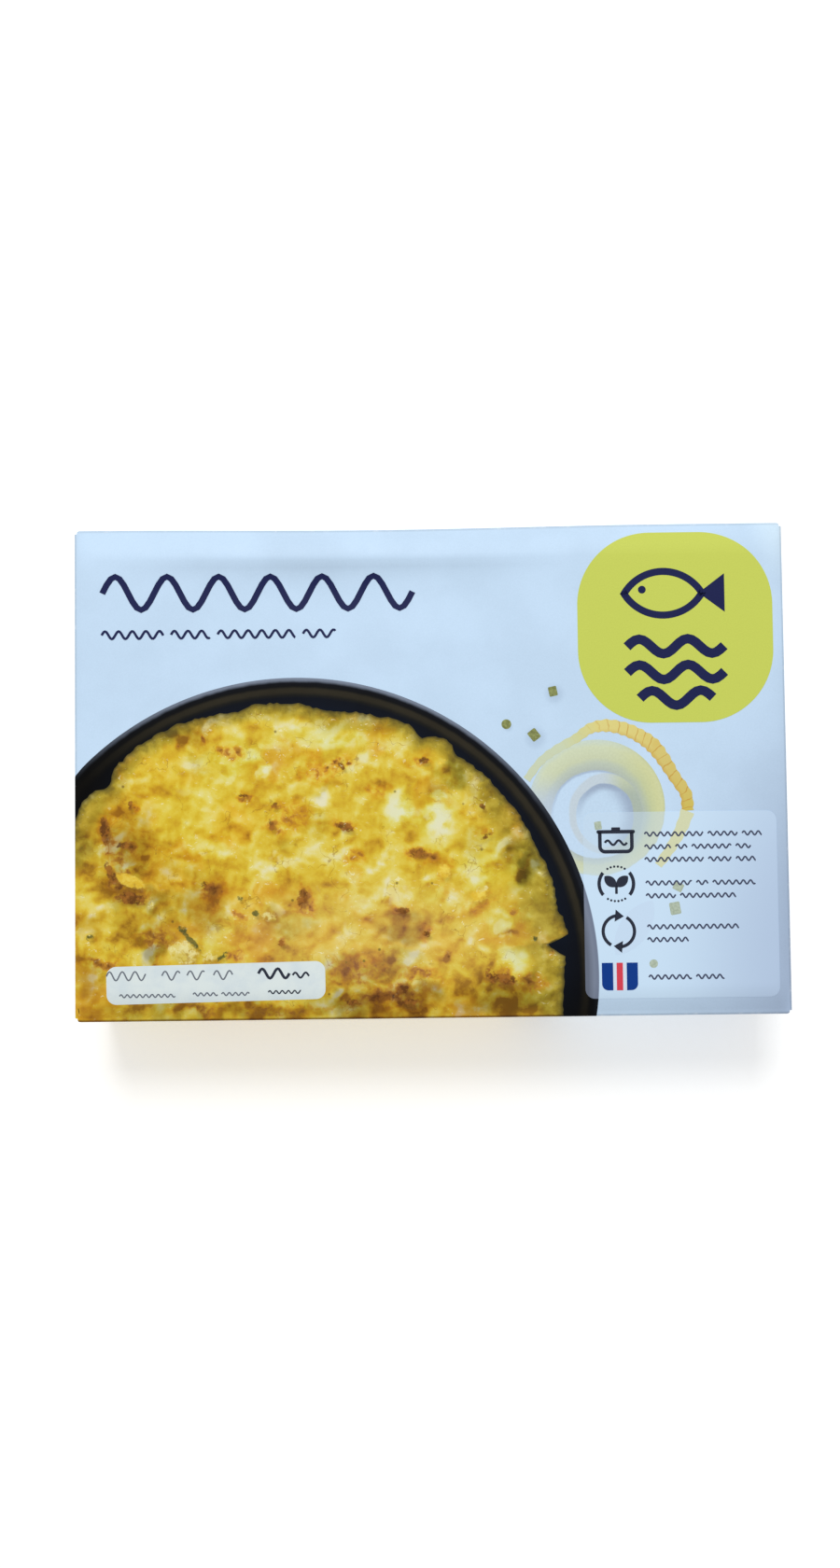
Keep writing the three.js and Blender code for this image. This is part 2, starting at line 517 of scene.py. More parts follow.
def sleeve():
    """The front, back and long walls as one section run from end to end."""
    made = bmesh.new()
    side = HEIGHT / 2
    section = (
        (-side, 0), (side - JOINT_SETBACK, 0), (side - JOINT_SETBACK, BOARD),
        (side, BOARD + FOLD_RADIUS), (side, FOLD_Z), (-side, FOLD_Z),
    )
    corners = [made.verts.new((-BODY_HALF, y, z)) for y, z in section]
    made.faces.new(corners)
    folds = [corners[0], corners[4], corners[5]]
    bmesh.ops.bevel(
        made, geom=folds, offset=FOLD_RADIUS, segments=FOLD_CUTS, profile=0.5,
        affect="VERTICES", material=-1,
    )
    grown = bmesh.ops.extrude_face_region(made, geom=made.faces[:], use_keep_orig=True)
    moved = [g for g in grown["geom"] if isinstance(g, bmesh.types.BMVert)]
    bmesh.ops.translate(made, verts=moved, vec=(2 * BODY_HALF, 0, 0))
    bmesh.ops.recalc_face_normals(made, faces=made.faces[:])
    return made


def combine(body, tool, operation):
    """Joins or cuts one closed bmesh with another, and frees both."""
    pair = []
    for part in (body, tool):
        mesh = bpy.data.meshes.new("board_part")
        part.to_mesh(mesh)
        part.free()
        holder = bpy.data.objects.new("board_part", mesh)
        bpy.context.scene.collection.objects.link(holder)
        pair.append(holder)
    boolean = pair[0].modifiers.new("joined", "BOOLEAN")
    boolean.operation, boolean.solver, boolean.object = operation, "MANIFOLD", pair[1]
    shown = pair[0].evaluated_get(bpy.context.evaluated_depsgraph_get())
    result = bmesh.new()
    result.from_mesh(shown.to_mesh())
    shown.to_mesh_clear()
    for holder in pair:
        mesh = holder.data
        bpy.data.objects.remove(holder)
        bpy.data.meshes.remove(mesh)
    return result


def crisp_carton():
    """The carton before its contents shaped it."""
    half = HEIGHT / 2
    carton = combine(sleeve(), block(
        (-BODY_HALF, -half, -FOLD_Z), (BODY_HALF, half, 2 * FOLD_Z),
        lambda middle, along: abs(along.z) > 0.9,
    ), "INTERSECT")
    for side in (-1, 1):
        root = side * (WIDTH / 2 - FLAP_ROOT)
        outer, inner = side * WIDTH / 2, side * (WIDTH / 2 - BOARD)
        flaps = (
            ((root, outer), (FOLD_Z - OUTER_FLAP_LENGTH, FOLD_Z), FOLD_Z),
            ((root, inner), (0.0, FOLD_Z / 2), 0.0),
        )
        for ends, heights, fold_height in flaps:
            flap = block(
                (min(ends), -FLAP_HALF, heights[0]), (max(ends), FLAP_HALF, heights[1]),
                lambda middle, along: (
                    abs(along.y) > 0.9 and abs(middle.x - ends[1]) < 0.01
                    and abs(middle.z - fold_height) < 0.01
                ),
            )
            carton = combine(carton, flap, "UNION")
    return carton


def is_cut_edge(face):
    """True for a face where the board was cut and its grey core shows."""
    middle, normal = face.calc_center_median(), face.normal
    flap_edge = normal.z < -0.9 and abs(middle.z - FOLD_Z + OUTER_FLAP_LENGTH) < 0.05
    flap_side = abs(normal.y) > 0.9 and abs(abs(middle.y) - FLAP_HALF) < 0.05
    joint_edge = normal.y > 0.9 and abs(middle.y - HEIGHT / 2 + JOINT_SETBACK) < 0.05
    return flap_edge or flap_side or joint_edge


def folded_carton(materials):
    carton = crisp_carton()
    for normal, half in (((1, 0, 0), BODY_HALF), ((0, 1, 0), FLAT_V)):
        steps = math.floor(half / BOARD_CELL)
        cuts = [k * BOARD_CELL for k in range(-steps, steps + 1)]
        if normal[0]:
            cuts += [-UPRIGHT_U, UPRIGHT_U]
        for offset in cuts:
            cut_along(carton, normal, offset)
    carton.normal_update()
    layer = carton.verts.layers.float_vector.new("blank")
    leaning = carton.verts.layers.float_vector.new("lean")
    for face in carton.faces:
        face.material_index = 1 if is_cut_edge(face) else 0
    for vert in carton.verts:
        u, v = unfold(vert.co)
        vert[layer] = Vector((u, v, vert.co.z))
        if vert.co.z > FOLD_Z - 0.01:
            vert[leaning] = panel_lean(u, v)
        vert.co = settle(vert.co) * MM
    mesh = bpy.data.meshes.new("folded_carton")
    carton.to_mesh(mesh)
    carton.free()
    piece = link_piece("folded_carton", mesh, materials)
    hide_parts("carton")
    return piece


# The print's layout on the blank, in millimetres from the middle of the front panel

DISH_CENTRE, DISH_RADIUS = (-41.9, -63.5), 92.65
GRATIN_CENTRE = (-42.7, -64.0)
BADGE_CENTRE, BADGE_SIZE, BADGE_ROUND = (76.1, 43.5), (60.3, 59.2), 22.5
PANEL_LEFT, PANEL_RIGHT, PANEL_TOP, PANEL_FOOT = 46.5, 106.0, -13.5, -70.5
LABEL_MIDDLE, LABEL_SIZE = (-66.5, -64.3), (67.0, 11.6)
RING_CENTRE, RING_REACH = (50.9, -12.0), (21.0, 20.9)
RING_HOLLOW_CENTRE, RING_HOLLOW_REACH = (51.0, -14.1), (14.0, 13.5)
CORE_CENTRE, CORE_REACH = (53.9, -14.0), (11.6, 12.5)
CORE_HOLLOW_CENTRE, CORE_HOLLOW_REACH = (53.4, -14.5), (8.9, 9.8)
GREEN_CUBES = ((38.0, 24.0, 3.0, 12), (32.0, 10.6, 3.4, 38))
GREEN_ROUND = (23.5, 14.0, 1.5)
VEILED_CUBES = ((51.2, -17.6, 2.5, 8), (75.5, -36.6, 3.0, 62), (74.4, -43.2, 3.8, 10))
VEILED_ROUND = (67.5, -60.0, 1.3)

# The gratin's edge: its radius, and the bulges and notches in it by angle, reach each way and height
GRATIN_RADIUS = 85.0
GRATIN_BULGES = (
    (-2, 16, -2.4), (7.6, 3.5, -5.5), (15, 5, -1.2), (37, 8, 1.0), (47, 10, 1.0), (57.5, 5, 2.4),
    (62, 2.5, -0.6), (65, 3, 1.2), (68, 3, 1.0), (82, 7, -1.4), (96, 6, 0.7), (102, 4, -0.7), (119, 18, 1.8),
    (133, 4, -2.6), (148, 10, -2.6),
)
TONGUE_START, TONGUE_END, TONGUE_REACH = 8.0, 11.0, 85.4

# Soft patches on the gratin: u, v, width, height and strength
TOASTED = (
    (-99.6, -15.7, 5, 10, 0.6), (-92.5, -22.9, 4, 3, 0.75), (-89.6, -10.7, 1.6, 3, 0.7),
    (-97.5, -30.0, 4, 8, 0.5), (-91.8, -37.5, 11, 5, 0.5), (-67.9, -35.4, 8, 6, 0.6),
    (-39.3, -39.6, 6, 8, 0.65), (-58.9, -44.3, 5, 4, 0.5), (-46, -52, 3, 3, 0.5),
    (-57.5, -7.5, 5, 2.4, 0.65), (-47.9, -16.8, 5, 6, 0.55), (-42, -13.5, 10, 8, 0.45),
    (-48, -10.2, 3, 2, 0.5), (-62.1, 6.8, 8, 3, 0.6), (-71.4, 10.3, 2, 3, 0.8),
    (-78.2, 8, 1.8, 1.8, 0.7), (-33.5, 0.5, 12, 8, 0.42), (-29.3, 3.4, 2.6, 2, 0.75),
    (-27.1, -16, 8, 4, 0.6), (-85, -50, 10, 6, 0.55), (-85, -57, 3, 4, 0.5),
    (-101, -58, 10, 3, 0.65), (-60, -56.4, 6, 4, 0.5), (-70.7, -72.1, 12, 4, 0.5),
    (-2.1, 3.2, 5, 3, 0.6), (-24.6, 2.5, 2.2, 2, 0.7), (-16.4, -6, 9, 4, 0.4),
    (-2.9, -26.1, 10, 5, 0.7), (4.3, -31, 4, 7, 0.42), (-23.2, -26.4, 6, 5, 0.45),
    (-9.3, -42.9, 6, 3, 0.5), (-2.1, -50, 4, 3, 0.5), (15.7, -19.6, 6, 3, 0.35),
    (21.8, -64.0, 10, 6, 0.6), (30, -65.5, 11, 4.5, 0.6), (-9.6, -67.1, 9, 5, 0.6),
    (-7.9, -71.4, 10, 3, 0.65), (-25, -70.7, 7, 4, 0.5), (-23.6, -61.4, 16, 8, 0.42),
    (14.3, -40, 8, 7, 0.38), (24.5, -43.6, 3.2, 3, 0.5), (-4, -62, 14, 5, 0.45),
    (-45, -73, 30, 4, 0.4), (36.8, -56.5, 1.6, 1.2, 0.6), (-14, -69.5, 22, 7, 0.6),
    (-98.5, -21, 5, 9, 0.55), (-96, -33, 6, 6, 0.7), (-96.5, -25.5, 4, 6, 0.6),
)
# DIMMED darkens the gratin: partly the print's own darker parts, partly painted shade to its left and along its
# foot
DIMMED = (
    (-105, -24, 16, 18, 0.35), (-93, -24, 18, 26, 0.75), (-82, -29, 16, 14, 0.4),
    (-94, -37, 16, 14, 0.6), (-71, -40, 18, 20, 0.6), (-86, -47, 24, 11, 0.5),
    (-84, -39, 11, 8, 0.8), (-86, -53, 9, 11, 1.0), (-105, -46, 10, 8, 0.45),
    (-71, 3, 10, 6, 0.35), (2, -5, 8, 7, 0.5), (-34, -6, 6, 4, 0.4), (-46, -22, 8, 6, 0.4),
    (-46, -38, 14, 10, 0.25), (-45, -47, 18, 12, 0.45), (-94, -7, 14, 10, 0.3),
    (6, -1, 12, 8, 0.5), (14, -22, 10, 12, 0.35), (24, -45, 12, 16, 0.2),
    (-9, -47, 14, 9, 0.7), (-8, -56, 14, 8, 0.4),
    (-22, -62, 34, 12, 0.5), (-21, -71, 30, 9, 1.0), (-7, -70, 20, 10, 1.0),
    (21, -70, 26, 12, 0.9), (-75, 11, 14, 8, 0.5), (-105, -62, 14, 12, 0.5),
    (-60, -73.5, 90, 5, 0.6), (-35, -17, 10, 10, 0.3),
    (-31.5, 18.5, 7, 4, 1.0), (30.6, -29, 6, 11, 1.0), (24.6, -24.6, 5, 6, 0.6), (8, -3, 8, 7, 0.7), (-98, -29, 5, 12, 0.6),
)
CREAMY = (
    (-34.0, -8.5, 7, 7, 1.0), (-51.4, 0.4, 4, 5, 0.95), (-57, 5.0, 7, 4, 0.9),
    (-64.3, -1.6, 11, 4, 0.75), (-70, -13, 10, 5, 0.65), (-68.5, -22.9, 13, 7, 0.95),
    (-48.6, -27.9, 13, 6, 0.9), (-38.6, 14.7, 8, 4, 0.8), (-59, 11.4, 7, 4, 0.8),
    (-92.9, -2.9, 1.2, 5, 0.6), (-10.7, -11.5, 11, 8, 1.0), (3.2, -16.1, 14, 10, 1.0),
    (-18.6, -28.9, 6, 3, 0.8), (11.0, -31.5, 8, 7, 0.8), (-10, -38.6, 9, 4, 0.75),
    (7.1, -41, 8, 5, 0.6), (21.4, -47.1, 8, 8, 0.8), (-106, -37, 8, 7, 0.5),
    (-78.5, -55, 7, 6, 0.6), (-67, -51, 9, 7, 0.6), (-86, -41.6, 3.4, 2.6, 0.7),
    (-10.7, -58.6, 14, 3, 0.45), (25.7, -56, 7, 6, 0.7), (12.9, -4.6, 6, 4, 0.8),
    (1.5, -7.6, 4, 4, 0.7), (-49.0, -42.6, 7, 4, 0.7), (-27.5, -49, 12, 8, 0.35),
    (-36, -27, 16, 16, 0.4), (-74, -6, 16, 9, 0.45), (-34, 11, 16, 8, 0.7),
    (-14, -37, 16, 10, 0.5), (-22, -39, 9, 6, 0.6), (-23, 9, 12, 7, 0.6),
    (-45, -3, 7, 5, 0.4), (24, -34, 7, 8, 0.4), (-106, -21, 7, 12, 0.4),
)
GOLDEN = (
    (-93, -15, 16, 24, 1.0), (-82, -32, 18, 15, 1.1), (-66, -38, 18, 11, 1.0),
    (-50, -38, 14, 9, 0.6), (-59, -15, 14, 10, 0.9), (-106, -46, 10, 9, 0.8),
    (-34, -50, 14, 10, 0.7), (-10, -48, 15, 11, 1.0), (-22, -56, 12, 8, 0.7),
    (2, -55, 12, 8, 0.7), (-8, -71, 36, 8, 1.2), (14, -71, 14, 8, 0.6), (-34, 2, 9, 7, 0.4),
    (-106, -18, 8, 16, 0.6), (-70, 10, 12, 7, 0.5), (-84, 1, 12, 8, 0.5),
)
LEMON = (
    (-58, 4, 15, 11, 0.9), (-28, 11, 24, 9, 0.9), (-46, 6, 12, 10, 0.5),
    (-3, -12, 24, 13, 1.0), (4, -22, 12, 8, 0.4), (20, -30, 20, 13, 0.7),
    (26, -51, 13, 18, 1.2), (17, -63, 12, 8, 0.6), (-70, -54, 12, 7, 0.6),
    (2, -38, 11, 6, 0.5), (29, -67, 10, 10, 0.6), (7, -3, 8, 7, 1.4), (-31, 18, 8, 4, 1.2), (29, -28, 10, 14, 1.4),
)

# Pieces that stand out in the gratin: u, v, half width, half height, turn and strength
BROWN_BITS = (
    (-100.3, -17.2, 1.5, 4.6, 6, 0.85), (-98.4, -31.0, 1.3, 4.4, 24, 0.85),
    (-92.2, -38.3, 5.0, 1.9, -8, 0.85), (-94.8, -22.0, 2.1, 1.5, 0, 0.7),
    (-92.6, -9.9, 0.8, 1.6, -15, 0.9), (-46.4, -52.4, 0.9, 1.1, 0, 0.95),
    (-39.8, -38.6, 1.8, 3.0, -12, 0.8), (-68.6, -35.2, 2.6, 1.6, -30, 0.75),
    (-48.1, -10.3, 1.4, 0.8, 30, 0.9), (-49.0, -16.6, 1.0, 2.4, 10, 0.7),
    (-26.6, -17.1, 3.3, 1.3, -20, 0.85), (-57.6, -7.2, 2.0, 0.9, -10, 0.6),
    (-27.4, 1.7, 1.6, 0.8, -50, 0.8), (-2.0, 3.1, 1.7, 1.0, 0, 0.9),
    (15.8, -11.4, 0.9, 1.1, 20, 0.9), (17.0, -20.4, 3.2, 0.9, 30, 0.5),
    (-4.2, -25.4, 2.8, 1.6, 0, 0.75), (-9.2, -42.9, 2.2, 1.0, 0, 0.85),
    (-2.0, -50.1, 1.5, 0.9, -10, 0.85), (22.2, -64.2, 3.4, 1.6, -14, 0.95),
    (17.4, -63.0, 2.0, 3.2, 20, 0.6), (-9.2, -66.9, 2.0, 1.3, 0, 0.9),
    (-7.6, -71.0, 3.6, 1.0, 0, 0.85), (-25.2, -70.6, 1.6, 1.0, 0, 0.85),
)
GREEN_BITS = (
    (-74.0, -51.4, 4.6, 0.9, -48, 0.75), (-76.9, -47.6, 1.7, 0.9, -10, 0.85),
    (-64.4, -56.2, 3.0, 0.9, 40, 0.6), (-54.2, -43.2, 1.1, 1.0, 0, 0.85),
    (-59.0, -38.5, 1.0, 0.9, 0, 0.8), (-105.0, -50.0, 1.4, 1.0, 20, 0.7),
    (31.5, -52.0, 1.0, 1.4, 30, 0.6),
)
CREAM_BITS = (
    (-86.1, -40.5, 2.0, 1.5, 20, 0.5), (-76.4, -54.8, 4.8, 3.6, -22, 0.72),
    (-68.4, -56.0, 3.2, 2.4, 20, 0.5), (-50.4, -44.2, 3.6, 1.8, -10, 0.45),
    (15.2, -36.6, 2.4, 1.1, 20, 0.6),
)
GOLD_BITS = (
    (-92.6, -32.9, 4.8, 1.9, -24, 0.95), (3.6, 2.6, 2.6, 0.9, 25, 0.5),
    (3.8, -31.0, 2.4, 2.8, 10, 0.65), (14.4, -38.6, 3.6, 2.2, 25, 0.65),
)

PEEL_STOPS = (
    (29.5, -3.2), (34.0, 2.5), (39.1, 6.2), (45.0, 9.4), (49.2, 12.3), (54.2, 13.2),
    (59.5, 12.2), (64.3, 10.0), (68.5, 6.9), (71.8, 2.5), (75.0, -2.8), (78.4, -8.2),
    (78.8, -13.3),
)
PEEL_WIDTHS = (2.4, 2.4, 2.6, 2.8, 3.2, 3.8, 4.0, 4.2, 4.6, 4.2, 3.6, 3.6, 3.7)
VEILED_PEEL_STOPS = ((78.8, -13.5), (77.2, -17.7), (75.0, -22.0), (72.5, -26.0), (69.5, -30.0))
PEEL_RIDGES = 24


def along_stops(stops, share):
    """The point at a share of the way along a smooth line through the stops."""
    place = clamp01(share) * (len(stops) - 1)
    first = min(int(place), len(stops) - 2)
    t = place - first
    near = [Vector(stops[min(max(first + k, 0), len(stops) - 1)]) for k in (-1, 0, 1, 2)]
    a, b, c, d = near
    return 0.5 * (2 * b + (c - a) * t + (2 * a - 5 * b + 4 * c - d) * t ** 2
                  + (3 * b - a - 3 * c + d) * t ** 3)


def value_along(values, share):
    place = clamp01(share) * (len(values) - 1)
    first = min(int(place), len(values) - 2)
    return values[first] + (values[first + 1] - values[first]) * (place - first)


def gratin_radius(angle):
    """The gratin's reach from its centre, at an angle in degrees."""
    reach = GRATIN_RADIUS + sum(height * hump(angle, at, wide) for at, wide, height in GRATIN_BULGES)
    around = Vector((math.cos(math.radians(angle)), math.sin(math.radians(angle)), 0))
    if TONGUE_START < angle < TONGUE_END:
        within = (angle - TONGUE_START) / (TONGUE_END - TONGUE_START)
        reach += (TONGUE_REACH - reach) * math.sin(math.pi * within) ** 0.5
    return reach + 0.5 * noise.noise(around * 26) + 0.6 * noise.noise(around * 70)


def gratin_polar(u, v):
    across, up = u - GRATIN_CENTRE[0], v - GRATIN_CENTRE[1]
    return (math.degrees(math.atan2(up, across)) + 90) % 360 - 90, math.hypot(across, up)


def gratin_margin(u, v):
    """How far inside the gratin's edge a point lies."""
    angle, radius = gratin_polar(u, v)
    return gratin_radius(angle) - radius


def gratin_olive(u, v):
    """The thin sauce round the gratin, broadest at the right and the far left."""
    angle, radius = gratin_polar(u, v)
    breadth = 6 + 12 * hump(angle, 15, 55) + 9 * hump(angle, 150, 28) + 3 * hump(angle, 80, 20)
    return 1 - clamp01((gratin_radius(angle) - radius) / breadth)


def patch_share(patches, u, v, ragged):
    """The strongest of the soft patches at a point, in uneven shapes."""
    bend = noise.noise_vector(Vector((u * 0.16, v * 0.16, 3.7))) * ragged
    bend += noise.noise_vector(Vector((u * 0.45, v * 0.45, 8.1))) * ragged * 0.4
    share = 0.0
    for patch_u, patch_v, width, height, strength in patches:
        away = math.hypot((u + bend.x - patch_u) / width, (v + bend.y - patch_v) / height) * 2
        share = max(share, strength * hump(max(0.0, away - 0.15), 0, 1.6))
    return share


# Materials


def coated_board():
    """Board printed pale blue and varnished, with painted shade darkening it to the foot on the right, a painted
    pool of light at the upper right corner and painted shade along the front folds.
    """
    material, tree, shader = finish("coated_board", 0.45, SHEEN)
    place = blank_place(tree)
    mottle = between(tree, grain(tree, place, 0.05, 3.0), 0.3, 0.7, 0.97, 1.03)
    speckle = between(tree, grain(tree, place, 2.2, 3.0, 0.65), 0.25, 0.75, 0.98, 1.02)
    # Painted shade, darker to the foot on the right
    colour = blend_colour(tree, painted_foot_shade(tree, place), PALE_BLUE, PAINTED_SHADE_BLUE)
    # Painted light: a brighter pool at the upper right corner
    lit_corner = between(tree, distance_to(tree, place, (112, 80), (14, 24)), 0.2, 1.1, 0.9, 0.0)
    colour = blend_colour(tree, lit_corner, colour, srgb(216, 238, 254))
    near_fold, worn = wear_shares(tree, place)
    # Painted shade along the front folds, where they turn away from the light; the rubbed touches blended next are
    # wear
    colour = blend_colour(tree, near_fold, colour, (0.80, 0.80, 0.80, 1.0), "MULTIPLY")
    colour = blend_colour(tree, worn, colour, srgb(226, 234, 242))
    for cube in (*GREEN_CUBES, GREEN_ROUND):
        spot = (cube[0] + 0.5, cube[1] - 0.9)
        away = distance_to(tree, place, spot, (1, 1))
        shadow = between(tree, away, cube[2] * 0.4, cube[2] * 1.3, 0.3, 0.0)
        colour = blend_colour(tree, shadow, colour, srgb(150, 170, 196))
    tree.links.new(scaled(tree, colour, calc(tree, "MULTIPLY", mottle, speckle)),
                   shader.inputs["Base Color"])
    varnish_skin(tree, shader, place)
    return material


def distance_to(tree, place, centre, reach):
    """How far a point is from a centre, in units of a reach across and up."""
    moved = vector_calc(tree, "SUBTRACT", place, (centre[0], centre[1], 0))
    flat = vector_calc(tree, "MULTIPLY", moved, (1 / reach[0], 1 / reach[1], 0))
    return vector_calc(tree, "LENGTH", flat)


def painted_foot_shade(tree, place):
    """How much painted shade lies at a point: 0 over most of the print, rising to 1 at the foot of the right side.
    """
    away = distance_to(tree, place, (125, -70), (45, 85))
    return between(tree, away, 0.1, 1.45, 0.78, 0.0)


def fold_share(tree, place, socket, flat):
    """1 along the middle of the two front folds across X or Y, and 0 away from them."""
    parts = shade(tree, "ShaderNodeSeparateXYZ", {"Vector": place})
    beyond = calc(tree, "SUBTRACT", calc(
        tree, "ABSOLUTE", parts.outputs[socket]), flat + QUARTER_FOLD / 2)
    return between(tree, calc(tree, "ABSOLUTE", beyond), 0.2, 0.9, 1.0, 0.0)


def wear_shares(tree, place):
    """Where the front folds are, and where the ink on them is rubbed in small uneven touches."""
    near_fold = calc(tree, "MAXIMUM", fold_share(tree, place, "X", FLAT_U), fold_share(
        tree, place, "Y", FLAT_V))
    uneven = between(tree, grain(tree, place, 0.5, 4.0, 0.7), 0.5, 0.8, 0.0, 0.6)
    return near_fold, calc(tree, "MULTIPLY", near_fold, uneven)


def raw_board():
    """The board's grey-cream core at its cut edges, in fine layers."""
    material, tree, shader = finish("raw_board", 0.85, 0.2)
    place = shade(tree, "ShaderNodeTexCoord").outputs["Object"]
    fibre = grain(tree, place, 2500.0, 3.0, 0.6)
    colour = blend_colour(tree, between(tree, fibre, 0.3, 0.7), RAW_BOARD, srgb(226, 219, 205))
    tree.links.new(colour, shader.inputs["Base Color"])
    bump = shade(tree, "ShaderNodeBump", {"Height": fibre, "Strength": 0.4, "Distance": 0.00005})
    tree.links.new(bump.outputs["Normal"], shader.inputs["Normal"])
    return material


def dish_glaze():
    """A black dish seen from above: a thin light line at its lip and a brown band inside."""
    material, tree, shader = finish("dish_print", 0.42, 0.06)
    place = blank_place(tree)
    centred = vector_calc(tree, "SUBTRACT", place, (*DISH_CENTRE, 0))
    wobble = calc(tree, "SUBTRACT", grain(tree, place, 0.3, 3.0), 0.5)
    radius = calc(tree, "MULTIPLY_ADD", wobble, 0.5, vector_calc(tree, "LENGTH", centred))
    band = shade(
        tree, "ShaderNodeMapRange", {"Value": radius, "From Min": 83.0, "From Max": 93.0},
    ).outputs["Result"]
    dark = ramp(tree, band, (
        (0.0, srgb(5, 6, 9)), (0.34, srgb(4, 4, 5)), (0.60, srgb(8, 7, 5)),
        (0.85, srgb(4, 4, 4)), (1.0, srgb(15, 16, 20)),
    ))
    lit = ramp(tree, band, (
        (0.0, srgb(14, 21, 34)), (0.34, srgb(15, 19, 28)), (0.43, srgb(28, 28, 26)),
        (0.52, srgb(47, 43, 33)), (0.62, srgb(48, 44, 34)), (0.70, srgb(17, 18, 20)),
        (0.80, srgb(16, 18, 25)), (0.88, srgb(30, 34, 42)), (1.0, srgb(30, 33, 42)),
    ))
    toward = vector_calc(tree, "NORMALIZE", centred)
    facings = []
    for lean, low, high in ((62, 0.2, 0.75), (84, 0.55, 1.0)):
        lean = math.radians(lean)
        facing = vector_calc(tree, "DOT_PRODUCT", toward, (math.cos(lean), math.sin(lean), 0))
        facings.append(between(tree, facing, low, high))
    streaks = between(tree, grain(tree, scaled(tree, toward, 6.0), 1.0, 4.0), 0.3, 0.7, 0.8, 1.05)
    inside = calc(tree, "MULTIPLY", facings[0], streaks, clamp=True)
    lip = calc(tree, "MULTIPLY", between(tree, radius, 91.0, 92.3), facings[1])
    colour = blend_colour(tree, inside, dark, lit)
    colour = blend_colour(tree, lip, colour, srgb(124, 134, 152))
    tree.links.new(colour, shader.inputs["Base Color"])
    varnish_skin(tree, shader, place)
    return material


def warped(tree, place, scale, reach):
    """The place moved about by noise, so that what is drawn there loses its straight lines."""
    sway = grain(tree, place, scale, 3.0, output="Color")
    sway = vector_calc(tree, "SUBTRACT", sway, (0.5, 0.5, 0.5))
    return vector_calc(tree, "ADD", place, scaled(tree, sway, reach))


def curd_height(tree, place):
    """Soft lumps of two sizes, as a height from 0 to 1."""
    bent = warped(tree, place, 0.1, 14.0)
    heights = []
    for scale in (0.085, 0.2):
        cells = shade(
            tree, "ShaderNodeTexVoronoi", {"Vector": bent, "Scale": scale, "Smoothness": 0.8},
            feature="SMOOTH_F1",
        )
        heights.append(cells.outputs["Distance"])
    height = calc(tree, "MULTIPLY_ADD", heights[0], -0.8, 1.0)
    return calc(tree, "MULTIPLY_ADD", heights[1], -0.45, height)


def lay_bits(tree, place, colour):
    """Lays the brown, green, cream and golden bits over a colour, with soft shadows below them."""
    bent = warped(tree, place, 0.9, 1.6)
    rough = between(tree, grain(tree, bent, 0.75, 3.0, 0.6), 0.25, 0.75, -0.65, 0.65)
    tone = grain(tree, bent, 0.4, 3.0, 0.6)
    shadow = between(tree, attribute(tree, "bit_shadow"), 0.15, 0.8, 0.0, 0.45)
    colour = blend_colour(tree, shadow, colour, srgb(122, 86, 28))
    for name, low, high, raggedness in (
        ("gold", (230, 190, 54), (244, 217, 92), 0.5), ("brown", (94, 54, 20), (160, 102, 38), 1.0),
        ("green", (66, 76, 40), (112, 108, 50), 0.8), ("cream", (222, 200, 96), (239, 229, 160), 0.9),
    ):
        share = attribute(tree, name + "_bits")
        share = calc(tree, "MULTIPLY", share, calc(tree, "MULTIPLY_ADD", rough, raggedness, 1.0))
        tint = blend_colour(tree, between(tree, tone, 0.38, 0.62), srgb(*low), srgb(*high))
        colour = blend_colour(tree, between(tree, share, 0.22, 0.52, 0.0, 0.88), colour, tint)
    return colour


